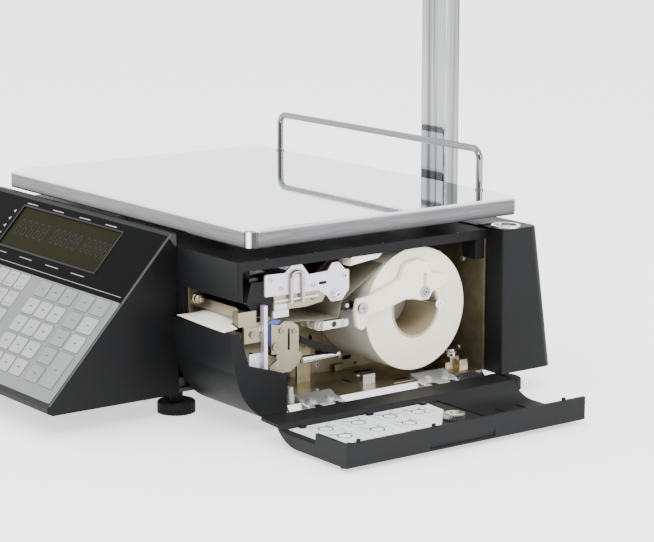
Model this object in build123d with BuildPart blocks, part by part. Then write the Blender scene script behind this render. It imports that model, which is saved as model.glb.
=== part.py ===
from build123d import *

import math
import os

# Label printing scale, millimetres. +Z is up, +X is the operator's right and +Y the customer's side.
# The origin is on the table, under the middle of the resting outline, side door open.

# Envelope
half_width = 224.0  # to the body's left side, and to the outer edge of the open door
half_depth = 195.0  # to the console's lip, and to the rear of the mast socket
total_height = 482.0

# Load plate
plate_width, plate_depth, plate_skirt = 345.0, 245.0, 13.0
plate_top = 150.0
plate_right, plate_front = 126.0, -85.0
plate_sheet = 1.2
plate_x = plate_right - plate_width / 2
plate_y = plate_front + plate_depth / 2

# Body
wall = 3.0
deck_top = 126.0
deck_band = 7.0  # height of the deck's side edge
body_bottom = 17.5
side_plane = 114.0  # the side that the door closes against
column_face = 131.0  # outer face of the column, flush with the closed door
column_front = 138.0
rear_top, rear_bottom = 174.5, 191.0

# Console
console_right = 37.0
crest_y, crest_z = -91.0, 136.0
lip_height = 5.5
slope_angle = math.degrees(math.atan2(crest_z - body_bottom - lip_height, crest_y + half_depth))

# Nose around the label slot
nose_front = -87.0
slot_bottom, slot_top = 76.0, 98.5
cover_bottom = 12.0

# Printer compartment
bay_left = 44.0
bay_front = -60.0
floor_top = 17.6
sheet = 1.5
ceiling = 119.0

# Label roll
roll_y, roll_z = 75.8, 72.0
roll_radius, core_radius, core_bore = 46.0, 22.0, 20.0
label_left, label_right = 46.0, 106.0

# Print mechanism
platen_y, platen_z, platen_radius = -62.0, 75.3, 7.3
shaft_radius = 2.6
chassis_left, chassis_right = bay_left + sheet, 104.0
head_y, head_z = 3.0, 92.0  # pivot of the print head
lever_y, lever_z = -50.8, 61.0  # pivot of the release lever
gear_module = 0.8
platen_teeth, idler_teeth, pinion_teeth = 28, 24, 14

# Side door
hinge_x, hinge_z = 120.0, 14.5
door_front, door_rear = -76.0, 137.4
door_skin = 2.5
rim_z = hinge_z + hinge_x - side_plane
skin_z = hinge_z + hinge_x - column_face
panel_z = 13.0  # inner panel that carries the instruction sheet
knob_x, knob_y = 195.0, 40.0
leaf_centres = (-15.0, 91.0)
leaf_length = 32.0

# Feet
foot_radius, foot_height, stem_radius = 14.0, 8.0, 5.0
feet = {
    "front_right": (20.5, -79.0),
    "rear_right": (110.5, 158.0),
    "front_left": (-200.0, -79.0),
    "rear_left": (-200.0, 158.0),
}

# Mast and customer display
mast_x, mast_y = -1.0, 185.0
mast_width, mast_depth = 30.0, 15.5
mast_top = 392.0
tilt_z = 433.0

up = (Align.CENTER, Align.CENTER, Align.MIN)
run_clearance = 0.05
os.makedirs("parts", exist_ok=True)


def along_x(points, low, high, mode=Mode.ADD):
    """A prism with (y, z) corners, from x = low to x = high, in the current part."""
    with BuildSketch(Plane.YZ.offset(low)) as outline:
        with BuildLine():
            Polyline(*points, close=True)
        make_face()
    extrude(outline.sketch, amount=high - low, mode=mode)


def along_y(points, low, high, mode=Mode.ADD):
    """A prism with (x, z) corners, from y = low to y = high, in the current part."""
    with BuildSketch(Plane.XZ.offset(-low)) as outline:
        with BuildLine():
            Polyline(*points, close=True)
        make_face()
    extrude(outline.sketch, amount=low - high, mode=mode)


def block(low, high, mode=Mode.ADD):
    """A box between two opposite corners, in the current part."""
    size = [b - a for a, b in zip(low, high)]
    middle = tuple((a + b) / 2 for a, b in zip(low, high))
    with Locations(middle):
        Box(*size, mode=mode)


def rod(start, direction, radius, length, mode=Mode.ADD):
    """A round bar from a point along a direction, in the current part."""
    with Locations(Plane(origin=start, z_dir=direction)):
        Cylinder(radius, length, align=up, mode=mode)


def rod_x(y, z, radius, low, high, mode=Mode.ADD):
    """A round bar along X, in the current part."""
    rod((low, y, z), (1, 0, 0), radius, high - low, mode)


def screw(start, direction, head=2.6, thickness=1.8, shank=1.4, length=5.0):
    """A pan screw with a cross slot: its head stands out from the point along the direction."""
    seat = Plane(origin=start, z_dir=direction)
    with Locations(seat):
        Cylinder(head, thickness, align=up)
        Cylinder(shank, length, align=(Align.CENTER, Align.CENTER, Align.MAX))
    with Locations(seat.offset(thickness)):
        Box(head, 0.5, 1.2, mode=Mode.SUBTRACT)
        Box(0.5, head, 1.2, mode=Mode.SUBTRACT)


def gear(y, z, teeth, module, low, high, bore, phase):
    """A straight-toothed gear about an X axis. One tooth points at the phase, in degrees from +Y to +Z."""
    pitch = teeth * module / 2
    root, tip = pitch - 1.25 * module, pitch + 0.9 * module
    with BuildSketch(Plane(origin=(low, y, z), x_dir=(0, 1, 0), z_dir=(1, 0, 0))) as outline:
        Circle(root)
        with PolarLocations(0, teeth, start_angle=phase):
            with BuildLine():
                Polyline(
                    (root - module / 2, 0.90 * module),
                    (root, 0.90 * module),
                    (pitch, 0.66 * module),
                    (tip, 0.34 * module),
                    (tip, -0.34 * module),
                    (pitch, -0.66 * module),
                    (root, -0.90 * module),
                    (root - module / 2, -0.90 * module),
                    close=True,
                )
            make_face()
        Circle(bore, mode=Mode.SUBTRACT)
    extrude(outline.sketch, amount=high - low)


# ---------------------------------------------------------------- body

pan_bottom, pan_top = body_bottom, body_bottom + 3
pedestal_top = 40.0
cell_length, cell_width, cell_height = 130.0, 30.0, 22.0
cell_left = plate_x - cell_length / 2

with BuildPart() as base_pan:
    block((-216, -186, pan_bottom), (33, -46, pan_top))
    block((-216, -46, pan_bottom), (bay_left - 1, 184, pan_top))
    block((bay_left - 2, 142, pan_bottom), (126, 184, pan_top))
    block(
        (cell_left, plate_y - cell_width / 2, pan_top),
        (cell_left + 24, plate_y + cell_width / 2, pedestal_top),
    )
    with Locations([(x, y, pan_bottom) for x, y in feet.values()]):
        Cylinder(10, 10, align=up)
    with Locations([(x, y, pan_bottom - 1) for x, y in feet.values()]):
        Cylinder(stem_radius + run_clearance, 12, align=up, mode=Mode.SUBTRACT)
base_pan.part.label = "base_pan"
export_step(base_pan.part, "parts/base_pan.step")

post_x, post_y = plate_x + cell_length / 2 - 13, plate_y

with BuildPart() as top_cover:
    along_x(
        [
            (plate_front, body_bottom),
            (rear_bottom, body_bottom),
            (rear_top, deck_top),
            (plate_front, deck_top),
        ],
        -half_width, side_plane,
    )
    upright = top_cover.edges().filter_by(GeomType.LINE).group_by(Axis.X)[0].sort_by(Axis.Y)[-1]
    fillet(upright, 8)
    along_x(
        [
            (plate_front - 1, body_bottom - 1),
            (rear_bottom - wall, body_bottom - 1),
            (rear_top - wall, deck_top - wall),
            (plate_front - 1, deck_top - wall),
        ],
        -half_width + wall, side_plane + 1, mode=Mode.SUBTRACT,
    )
    block((65, column_front, body_bottom - 1), (side_plane + 1, 200, deck_top + 1), mode=Mode.SUBTRACT)
    block(
        (side_plane - wall, plate_front + 4, deck_top - deck_band),
        (side_plane, column_front, deck_top - wall),
    )
    block((console_right, nose_front, slot_top), (side_plane, plate_front + 25, deck_top))
    block(
        (console_right + wall, nose_front + wall, slot_top - 1),
        (side_plane - wall, 0, deck_top - wall), mode=Mode.SUBTRACT,
    )
    block(
        (side_plane - wall - 1, nose_front + 4, slot_top - 1),
        (side_plane + 1, 0, deck_top - deck_band), mode=Mode.SUBTRACT,
    )
    block((console_right + 0.4, nose_front, slot_bottom), (bay_left, -83.4, slot_top + 0.5))
    block((98, column_front - 11, ceiling - 15), (side_plane - 1, column_front - 2.3, deck_top - wall))
    block(
        (post_x - 19, post_y - 19, deck_top - wall - 1),
        (post_x + 19, post_y + 19, deck_top + 1), mode=Mode.SUBTRACT,
    )
    block((mast_x - 21, 168, 38), (mast_x + 21, 200, 112), mode=Mode.SUBTRACT)
    block((-170, 168, 34), (-90, 200, 66), mode=Mode.SUBTRACT)
    block((-half_width - 1, 90, 40), (-half_width + wall + 1, 112, 54), mode=Mode.SUBTRACT)
    for z in (38.5, 54):
        block((-half_width + wall, 98, z), (-213, 104, z + 1.5))
        with Locations((-217.5, 101, z - 1)):
            Cylinder(1.0 + run_clearance, 4, align=up, mode=Mode.SUBTRACT)
    nose_corner = top_cover.edges().filter_by(Axis.Z).group_by(Axis.Y)[0].sort_by(Axis.X)[-1]
    fillet(nose_corner, 1.5)
top_cover.part.label = "top_cover"
export_step(top_cover.part, "parts/top_cover.step")

with BuildPart() as rear_column:
    column_side = [
        (column_front, body_bottom),
        (rear_bottom, body_bottom),
        (rear_top, deck_top + 1),
        (column_front, deck_top + 1),
    ]
    along_x(column_side, 66, column_face)
    outer = rear_column.edges().filter_by_position(Axis.X, column_face - 0.1, column_face + 0.1)
    back_edge = outer.sort_by(Axis.Y)[-1]
    fillet(back_edge, 9)
    front_edge = rear_column.edges().filter_by(Axis.Z).sort_by(Axis.X)[-1]
    fillet(front_edge, 1.5)
    top_rim = rear_column.faces().sort_by(Axis.Z)[-1].edges()
    fillet(top_rim, 1.5)
    inner = [
        (column_front + wall, body_bottom - 1),
        (rear_bottom - wall, body_bottom - 1),
        (rear_top - wall, deck_top + 1 - wall),
        (column_front + wall, deck_top + 1 - wall),
    ]
    along_x(inner, 60, column_face - wall, mode=Mode.SUBTRACT)
    with Locations((118.5, 151.5, deck_top + 1)):
        Cylinder(11.2, 3, mode=Mode.SUBTRACT)
rear_column.part.label = "rear_column"
export_step(rear_column.part, "parts/rear_column.step")

with BuildPart() as bubble_level:
    with Locations((118.5, 151.5, deck_top - 0.5)):
        Cylinder(11.1, 2.4, align=up)
        Cylinder(8.6, 3.0, align=up, mode=Mode.SUBTRACT)
        Cylinder(8.6, 1.4, align=up)
bubble_level.part.label = "bubble_level"
export_step(bubble_level.part, "parts/bubble_level.step")

# ---------------------------------------------------------------- operator console

slope_plane = Plane(
    origin=((console_right - half_width) / 2, crest_y, crest_z),
    x_dir=(1, 0, 0),
    z_dir=(0, -math.sin(math.radians(slope_angle)), math.cos(math.radians(slope_angle))),
)
slope_length = math.hypot(crest_y + half_depth, crest_z - body_bottom - lip_height)
panel_width = console_right + half_width - 5
overlay_top, overlay_bottom = -3.0, -62.0
keypad_bottom = -slope_length + 4

with BuildPart() as console_housing:
    along_x(
        [
            (-half_depth + 4, body_bottom),
            (-half_depth, body_bottom + 2),
            (-half_depth, body_bottom + lip_height),
            (crest_y, crest_z),
            (crest_y + 3.5, crest_z),
            (nose_front, deck_top),
            (nose_front, body_bottom),
        ],
        -half_width, console_right,
    )
    along_x(
        [
            (-half_depth + 8, body_bottom - 1),
            (-half_depth + wall, body_bottom + lip_height),
            (crest_y - 1.4, crest_z - 7.5),
            (nose_front + 1, deck_top - 2.5),
            (nose_front + 1, body_bottom - 1),
        ],
        -half_width + wall, console_right - wall, mode=Mode.SUBTRACT,
    )
    with BuildSketch(slope_plane.offset(0.2)):
        with Locations((0, (overlay_top + keypad_bottom) / 2)):
            Rectangle(panel_width, overlay_top - keypad_bottom)
    extrude(amount=-0.8, mode=Mode.SUBTRACT)
    with BuildSketch(slope_plane):
        with Locations((0, -28)):
            Rectangle(150, 40)
    extrude(amount=-6, mode=Mode.SUBTRACT)
    side_rim = console_housing.edges().filter_by_position(Axis.X, console_right - 0.1, console_right + 0.1)
    chamfer(side_rim.group_by(SortBy.LENGTH)[-1], 0.8)
console_housing.part.label = "console_housing"
export_step(console_housing.part, "parts/console_housing.step")

with BuildPart() as display_overlay:
    with BuildSketch(slope_plane.offset(-0.6)):
        with Locations((0, (overlay_top + overlay_bottom) / 2)):
            RectangleRounded(panel_width - 0.6, overlay_top - overlay_bottom - 0.2, 2)
        with Locations((0, -28)):
            Rectangle(146, 36, mode=Mode.SUBTRACT)
    extrude(amount=0.5)
display_overlay.part.label = "display_overlay"
export_step(display_overlay.part, "parts/display_overlay.step")

with BuildPart() as lcd_module:
    with BuildSketch(slope_plane.offset(-5.5)):
        with Locations((0, -28)):
            Rectangle(148, 38)
    extrude(amount=4.5)
lcd_module.part.label = "lcd_module"
export_step(lcd_module.part, "parts/lcd_module.step")

with BuildPart() as keypad_overlay:
    with BuildSketch(slope_plane.offset(-0.6)):
        with Locations((0, (overlay_bottom + keypad_bottom) / 2 - 0.2)):
            RectangleRounded(panel_width - 0.6, overlay_bottom - keypad_bottom - 0.6, 2)
    extrude(amount=0.5)
keypad_overlay.part.label = "keypad_overlay"
export_step(keypad_overlay.part, "parts/keypad_overlay.step")

# ---------------------------------------------------------------- lower front cover

with BuildPart() as lower_front_cover:
    left, right = console_right + 0.4, side_plane
    with BuildSketch(Plane.YZ.offset(left)):
        with BuildLine():
            Line((-46, cover_bottom), (-64, cover_bottom))
            ThreePointArc((-64, cover_bottom), (-80, 25), (-88.5, 47))
            ThreePointArc((-88.5, 47), (-91.5, 61), (-92.5, slot_bottom))
            Polyline((-92.5, slot_bottom), (-86, slot_bottom), (-78, 52), (-46, 42), (-46, cover_bottom))
        make_face()
    extrude(amount=right - left)
    front_rim = lower_front_cover.edges().filter_by_position(Axis.X, right - 0.1, right + 0.1)
    chamfer(front_rim.group_by(Axis.Y)[0], 1.2)
    with BuildSketch(Plane.YZ.offset(left + wall)):
        with BuildLine():
            Line((-40, cover_bottom + 2.4), (-63, cover_bottom + 2.4))
            ThreePointArc((-63, cover_bottom + 2.4), (-77.4, 26.4), (-85.5, 47.5))
            ThreePointArc((-85.5, 47.5), (-88.4, 61), (-89.5, slot_bottom + 1))
            Polyline((-89.5, slot_bottom + 1), (-40, slot_bottom + 1), (-40, cover_bottom + 2.4))
        make_face()
    extrude(amount=right - left - 2 * wall, mode=Mode.SUBTRACT)
lower_front_cover.part.label = "lower_front_cover"
export_step(lower_front_cover.part, "parts/lower_front_cover.step")

# ---------------------------------------------------------------- printer compartment

idler_direction, pinion_direction = -50.0, -30.0
idler_reach = gear_module * (platen_teeth + idler_teeth) / 2
pinion_reach = gear_module * (idler_teeth + pinion_teeth) / 2
idler_y = platen_y + idler_reach * math.cos(math.radians(idler_direction))
idler_z = platen_z + idler_reach * math.sin(math.radians(idler_direction))
pinion_y = idler_y + pinion_reach * math.cos(math.radians(pinion_direction))
pinion_z = idler_z + pinion_reach * math.sin(math.radians(pinion_direction))
gear_low, gear_high = bay_left - 3.1, bay_left - 0.6

with BuildPart() as printer_floor:
    along_y(
        [
            (bay_left, floor_top - sheet),
            (108.5, floor_top - sheet),
            (112.6, 12.8),
            (114.4, 12.8),
            (109.6, floor_top),
            (bay_left, floor_top),
        ],
        bay_front + 16, column_front - 0.6,
    )
    block((bay_left, -64, floor_top - sheet), (108, bay_front + 17, floor_top))
printer_floor.part.label = "printer_floor"
export_step(printer_floor.part, "parts/printer_floor.step")

with BuildPart() as printer_wall:
    along_x(
        [
            (-62, floor_top), (-74, 28), (-81, 46), (-83, 70),
            (-83, ceiling), (137, ceiling), (137, floor_top),
        ],
        bay_left, bay_left + sheet,
    )
    rod_x(platen_y, platen_z, shaft_radius + run_clearance, bay_left - 1, bay_left + 3, mode=Mode.SUBTRACT)
    rod_x(idler_y, idler_z, 2.0, gear_low - 0.2, bay_left)
    block((bay_left, column_front - 0.6 - sheet, floor_top), (side_plane - 1, column_front - 0.6, ceiling))
printer_wall.part.label = "printer_wall"
export_step(printer_wall.part, "parts/printer_wall.step")

with BuildPart() as catch_keeper:
    along_x([(13, 119), (10, 112.5), (36, 115.5), (40, 119)], 98, 112.5)
    screw((112.5, 12.5, 117), (1, 0, 0), head=1.9, thickness=1.2, shank=1.0, length=4)
catch_keeper.part.label = "catch_keeper"
export_step(catch_keeper.part, "parts/catch_keeper.step")

with BuildPart() as latch_block:
    block((92, 108.5, floor_top), (102, 121.5, 29))
    block((102, 118, floor_top), (107, 126, 27))
    block((92, 108.5, 25), (102, 113, 30), mode=Mode.SUBTRACT)
    screw((97, 117, 29), (0, 0, 1), head=5.0, thickness=4.0, shank=2.5, length=6)
latch_block.part.label = "latch_block"
export_step(latch_block.part, "parts/latch_block.step")

with BuildPart() as floor_studs:
    with Locations((104, -36.5, floor_top)):
        Cylinder(3.6, 6, align=up)
        Cylinder(2.6, 11.5, align=up)
    with Locations((92, -4, floor_top)):
        Cylinder(1.6, 2.6, align=up)
    block((94, 36, floor_top), (95.2, 47, 25))
    block((90, 36, floor_top), (95.2, 47, floor_top + 1.2))
floor_studs.part.label = "floor_studs"
export_step(floor_studs.part, "parts/floor_studs.step")

# ---------------------------------------------------------------- label roll and its holder

with BuildPart() as roll_core:
    rod_x(roll_y, roll_z, core_radius, label_left, label_right)
    rod_x(roll_y, roll_z, core_bore, label_left - 1, label_right + 1, mode=Mode.SUBTRACT)
roll_core.part.label = "roll_core"
export_step(roll_core.part, "parts/roll_core.step")

with BuildPart() as label_roll:
    rod_x(roll_y, roll_z, roll_radius, label_left, label_right)
    rod_x(roll_y, roll_z, core_radius, label_left - 1, label_right + 1, mode=Mode.SUBTRACT)
label_roll.part.label = "label_roll"
export_step(label_roll.part, "parts/label_roll.step")

spindle_y, spindle_z, spindle_radius = 92.7, 74.4, 2.4
hub_face = 70.0
with BuildPart() as spindle_rods:
    rod_x(roll_y, roll_z, core_bore - 0.4, bay_left + sheet, hub_face)
    rod_x(spindle_y, spindle_z, spindle_radius, bay_left + sheet, label_right + 6)
    rod_x(spindle_y, spindle_z, spindle_radius + 1, label_right + 5, label_right + 6.5)
spindle_rods.part.label = "spindle_rods"
export_step(spindle_rods.part, "parts/spindle_rods.step")

arm_y, arm_z = 22.5, 80.0
arm_inner, arm_outer = 107.2, 111.0
with BuildPart() as arm_post:
    rod_x(arm_y, arm_z, 3.0, bay_left + sheet, arm_inner - 0.4)
    rod_x(arm_y, arm_z, 2.0, bay_left + sheet, arm_outer + 0.4)
    screw((arm_outer + 0.4, arm_y, arm_z), (1, 0, 0), head=4.2, thickness=2.0, shank=1.5, length=6)
arm_post.part.label = "arm_post"
export_step(arm_post.part, "parts/arm_post.step")

with BuildPart() as roll_arm:
    with BuildSketch(Plane.YZ.offset(arm_inner)) as arm_outline:
        with BuildLine():
            Polyline(
                (17, 78), (18.5, 66), (23, 63), (28, 66), (28, 72.5), (42, 75), (63, 81), (72, 80),
                (77, 78.5), (85, 78.5), (88.5, 84), (99, 86), (102, 91), (98.5, 97), (88.5, 98), (83, 107.5),
                (74, 110), (62, 107.5), (58, 97), (44, 92), (28, 87.5), (19, 86.5), close=True,
            )
        make_face()
        fillet(arm_outline.vertices(), 1.8)
    extrude(amount=arm_outer - arm_inner)
    rim = roll_arm.edges().filter_by_position(Axis.X, arm_outer - 0.01, arm_outer + 0.01)
    chamfer(rim, 0.8)
    rod_x(arm_y, arm_z, 2.0 + run_clearance, arm_inner - 1, arm_outer + 1, mode=Mode.SUBTRACT)
    rod_x(80.6, 85.0, 4.6, arm_inner, arm_outer + 0.8)
    block((arm_outer - 1.5, 79.2, 90), (arm_outer + 1, 82, 99), mode=Mode.SUBTRACT)
roll_arm.part.label = "roll_arm"
export_step(roll_arm.part, "parts/roll_arm.step")

# ---------------------------------------------------------------- print mechanism

plate_face = chassis_right + sheet

bracket_inner = plate_face + 0.2
bracket_face = bracket_inner + sheet

with BuildPart() as side_bracket:
    with BuildSketch(Plane.YZ.offset(bracket_inner)) as bracket_side:
        with BuildLine():
            Polyline(
                (-54.4, 77.2), (-47.4, 75.8), (-43.4, 78.2), (-37, 77.4), (-30.8, 73), (-30.8, 55),
                (-27.6, 53),
                (-30.5, 46), (-38, 41), (-44, 41), (-44, floor_top), (-56, floor_top), (-56, 47), (-49.4, 51),
                (-49.4, 55.2), (-54.4, 55.6), close=True,
            )
        make_face()
    extrude(amount=sheet)
    block((92, -56, floor_top), (bracket_face, -44.5, floor_top + sheet))
    block((bracket_inner - 1, -40.3, 57), (bracket_face + 1, -38.5, 72.6), mode=Mode.SUBTRACT)
    rod_x(lever_y, lever_z, 1.5, chassis_right, bracket_inner)
    screw((bracket_face, lever_y, lever_z), (1, 0, 0), head=3.2, length=1.2)
    for y, z in ((-45.8, 72), (-34.4, 70)):
        screw((bracket_face, y, z), (1, 0, 0), head=2.2, thickness=1.4, length=1.2)
side_bracket.part.label = "side_bracket"
export_step(side_bracket.part, "parts/side_bracket.step")

with BuildPart() as edge_plate:
    block((plate_face, -62.5, 44), (110, -59.5, 92))
    block((plate_face, -73, 44), (plate_face + 1, -59.5, 58))
    rod_x(platen_y, platen_z, shaft_radius + 0.5, plate_face - 1, 107, mode=Mode.SUBTRACT)
edge_plate.part.label = "edge_plate"
export_step(edge_plate.part, "parts/edge_plate.step")

with BuildPart() as guide_block:
    block((98, -81, 78.2), (plate_face, -74, 88.6))
    block((chassis_right, -75, 78.2), (plate_face, -66, 88.6))
    block((chassis_right, -77, 66), (plate_face, -56.6, 80))
    block((plate_face, -76.8, 66), (plate_face + 1, -64, 77.2))
    rod_x(platen_y, platen_z, shaft_radius + run_clearance, chassis_right - 1, 109, mode=Mode.SUBTRACT)
    screw((plate_face + 1, -70, 72), (1, 0, 0), head=2.4, length=2.2)
guide_block.part.label = "guide_block"
export_step(guide_block.part, "parts/guide_block.step")

with BuildPart() as peel_bar:
    along_x([(-82, 85), (-77, 85), (-75.5, 88.5), (-78, 91)], chassis_left, 98)
peel_bar.part.label = "peel_bar"
export_step(peel_bar.part, "parts/peel_bar.step")

guide_y, guide_z, guide_radius = -7.1, 69.4, 4.2
feed_y, feed_z, feed_radius = 13.5, 82.0, 4.0

with BuildPart() as tie_bars:
    along_x([(-9.2, 66.6), (13.4, 67), (14, 72.6), (-7.4, 73), (-10, 70.4)], 104.6, 105.8)
    rod_x(1.6, 69.9, 2.2, 104, 107, mode=Mode.SUBTRACT)
    for y, z, radius in ((guide_y, guide_z, 1.5), (11.3, 69.9, 1.8)):
        rod_x(y, z, radius, chassis_left, 106)
        rod_x(y, z, radius + 0.8, 105.8, 106.8)
    rod_x(feed_y, feed_z, 1.5, chassis_left, 105.5)
    rod_x(head_y, head_z, 1.8, chassis_left, plate_face + 0.4)
    screw((plate_face + 0.4, head_y, head_z), (1, 0, 0), head=3.4, thickness=1.8)
tie_bars.part.label = "tie_bars"
export_step(tie_bars.part, "parts/tie_bars.step")

with BuildPart() as liner_guide:
    along_x([(-26, 63.4), (-26, 60), (6, 46.8), (8, 49.6)], 60, 101)
    with Locations(Plane(origin=(100, -23.3, 46), z_dir=(0, 1, 0))):
        Cone(2.8, 1.7, 33, align=up)
    along_x([(-26, 43), (11, 43), (11, 48), (-26, 48)], 60, 62)
    block((60, 0, floor_top), (62, 12, 44))
    block((60, 9.5, 43.4), (101, 11, 48))
    block((60, -26, 43), (98.6, -24.5, 61))
liner_guide.part.label = "liner_guide"
export_step(liner_guide.part, "parts/liner_guide.step")

with BuildPart() as guide_roller:
    rod_x(guide_y, guide_z, guide_radius - 0.7, 46.5, 103.5)
    for step in range(6):
        rod_x(guide_y, guide_z, guide_radius, 50 + 9 * step, 55 + 9 * step)
    rod_x(guide_y, guide_z, 1.5 + run_clearance, 46, 104, mode=Mode.SUBTRACT)
guide_roller.part.label = "guide_roller"
export_step(guide_roller.part, "parts/guide_roller.step")

with BuildPart() as feed_roller:
    rod_x(feed_y, feed_z, feed_radius, 46.5, 103.5)
    rod_x(feed_y, feed_z, 1.5 + run_clearance, 46, 104, mode=Mode.SUBTRACT)
feed_roller.part.label = "feed_roller"
export_step(feed_roller.part, "parts/feed_roller.step")

with BuildPart() as platen_roller:
    rod_x(platen_y, platen_z, platen_radius, chassis_left + 0.6, chassis_right - 6.4)
    rod_x(platen_y, platen_z, shaft_radius, gear_low - 0.2, plate_face + 0.6)
platen_roller.part.label = "platen_roller"
export_step(platen_roller.part, "parts/platen_roller.step")


def mesh_phase(phase, teeth, next_teeth, direction):
    """Where the next gear's tooth points, so that it meshes with one whose tooth points at the phase."""
    return direction + 180 - (phase - direction) * teeth / next_teeth + 180 / next_teeth


idler_phase = mesh_phase(idler_direction, platen_teeth, idler_teeth, idler_direction)
pinion_phase = mesh_phase(idler_phase, idler_teeth, pinion_teeth, pinion_direction)

with BuildPart() as platen_gear:
    gear(platen_y, platen_z, platen_teeth, gear_module, gear_low, gear_high, shaft_radius, idler_direction)
platen_gear.part.label = "platen_gear"
export_step(platen_gear.part, "parts/platen_gear.step")

with BuildPart() as idler_gear:
    gear(idler_y, idler_z, idler_teeth, gear_module, gear_low, gear_high, 2.0 + run_clearance, idler_phase)
idler_gear.part.label = "idler_gear"
export_step(idler_gear.part, "parts/idler_gear.step")

with BuildPart() as motor_pinion:
    gear(pinion_y, pinion_z, pinion_teeth, gear_module, gear_low, gear_high, 1.9, pinion_phase)
    rod_x(pinion_y, pinion_z, 2.0, 16, gear_high)
motor_pinion.part.label = "motor_pinion"
export_step(motor_pinion.part, "parts/motor_pinion.step")

with BuildPart() as stepper_motor:
    rod_x(pinion_y, pinion_z, 17.5, 14, 36)
    block((36, pinion_y - 5, pinion_z - 24), (37.5, pinion_y + 5, pinion_z + 24))
    for z in (pinion_z - 20, pinion_z + 20):
        rod_x(pinion_y, z, 2.5, 37.5, bay_left)
    rod_x(pinion_y, pinion_z, 2.0 + run_clearance, 15, 60, mode=Mode.SUBTRACT)
stepper_motor.part.label = "stepper_motor"
export_step(stepper_motor.part, "parts/stepper_motor.step")

with BuildPart() as release_lever:
    along_x(
        [(-55.4, 62), (-55.6, 79), (-52, 80.2), (-45.9, 79.4), (-45.7, 75), (-48, 60), (-52, 57.6)],
        chassis_right + 0.2, plate_face,
    )
    rod_x(lever_y, lever_z, 1.5 + run_clearance, chassis_right, plate_face + 1, mode=Mode.SUBTRACT)
release_lever.part.label = "release_lever"
export_step(release_lever.part, "parts/release_lever.step")

# Print head, hinged at its rear
with BuildPart() as head_bracket:
    with BuildSketch(Plane.YZ.offset(chassis_right)) as bracket_outline:
        with BuildLine():
            Polyline(
                (-58.5, 97), (-58.5, 112.7), (-41, 112.4), (-36, 117), (-26.5, 117), (-20.5, 109),
                (-4, 109.6), (0, 115), (6, 115), (11.5, 109), (15, 108.5), (15, 94), (8.5, 86.8),
                (-0.5, 86.8), (-5, 92), (-12, 96.4), close=True,
            )
        make_face()
        fillet(bracket_outline.vertices(), 1.2)
    extrude(amount=sheet)
    block((chassis_right, -52.2, 81.2), (plate_face + 0.9, -38.8, 86.2))
    block((chassis_right - 0.2, -49.8, 86), (chassis_right + 0.4, -38.8, 90))
    along_x(
        [(-49.8, 86), (-22, 85.6), (-8, 87.6), (-5, 92), (-12, 98), (-49.8, 98)],
        chassis_right - sheet, chassis_right,
    )
    along_x([(-50, 92), (15, 92), (12, 108), (-50, 108)], chassis_left + 1, chassis_left + 1 + sheet)
    rod_x(head_y, head_z, 5.0, chassis_left + 1, chassis_left + 1 + sheet)
    block((chassis_left + 1, -50, 92), (plate_face, -12, 92 + sheet))
    block((chassis_left + 1, -37, 108), (plate_face, -26, 108 + sheet))
    rod_x(head_y, head_z, 1.8 + run_clearance, chassis_left, plate_face + 1, mode=Mode.SUBTRACT)
head_bracket.part.label = "head_bracket"
export_step(head_bracket.part, "parts/head_bracket.step")

with BuildPart() as thermal_head:
    along_x(
        [(-73, 94), (-69, 108), (-59, 108), (-50, 99), (-50, 93), (-55, 84.5), (-58, 83.4), (-66, 83.4)],
        chassis_left + 1, chassis_right - 0.3,
    )
thermal_head.part.label = "thermal_head"
export_step(thermal_head.part, "parts/thermal_head.step")

with BuildPart() as head_bail:
    with BuildLine(Plane.YZ.offset(plate_face + 1.5)) as bail_path:
        Line((-36.6, 90), (-36.6, 107.6))
        ThreePointArc((-36.6, 107.6), (-31.6, 112.6), (-26.6, 107.6))
        Line((-26.6, 107.6), (-26.6, 90))
    with BuildSketch(Plane(origin=bail_path.line @ 0, z_dir=bail_path.line % 0)):
        Circle(1.4)
    sweep()
head_bail.part.label = "head_bail"
export_step(head_bail.part, "parts/head_bail.step")

# Paper
paper = 0.3
tangent = math.degrees(math.atan2(feed_z - roll_z, feed_y - roll_y)) - math.degrees(
    math.acos((roll_radius + paper) / math.hypot(feed_y - roll_y, feed_z - roll_z))
)
leave_y = roll_y + (roll_radius + paper) * math.cos(math.radians(tangent))
leave_z = roll_z + (roll_radius + paper) * math.sin(math.radians(tangent))
with BuildPart() as paper_web:
    with BuildSketch(Plane.YZ.offset(label_left + 0.8)):
        with BuildLine():
            web = Polyline(
                (-66, 83.0), (-56, 82.9), (-42, 77.0), (-7.1, 73.9), (6.0, 73.7), (8.3, 80), (8.8, 84.2),
                (11.3, 86.5), (leave_y, leave_z),
            )
            offset(web, amount=paper / 2, side=Side.BOTH)
        make_face()
    extrude(amount=label_right - label_left - 3)
paper_web.part.label = "paper_web"
export_step(paper_web.part, "parts/paper_web.step")

label_rear, label_front = -77.0, -93.6
with BuildPart() as printed_label:
    for y, left_z, crown_z, right_z in ((label_rear, 78.4, 84.6, 78.4), (label_front, 78.8, 77.5, 76.8)):
        with BuildSketch(Plane.XZ.offset(-y)):
            with BuildLine():
                top = ThreePointArc((label_left, left_z), (76, crown_z), (label_right, right_z))
                Polyline(top @ 1, (label_right, right_z - paper))
                ThreePointArc(
                    (label_right, right_z - paper), (76, crown_z - paper), (label_left, left_z - paper)
                )
                Polyline((label_left, left_z - paper), top @ 0)
            make_face()
    loft(ruled=True)
    block((97.5, -82.2, 70), (label_right + 1, -70, 90), mode=Mode.SUBTRACT)
printed_label.part.label = "printed_label"
export_step(printed_label.part, "parts/printed_label.step")

# ---------------------------------------------------------------- side door

pin_radius, knuckle_radius = 1.2, 2.6
knuckle, lug = 6.0, 10.0

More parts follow.
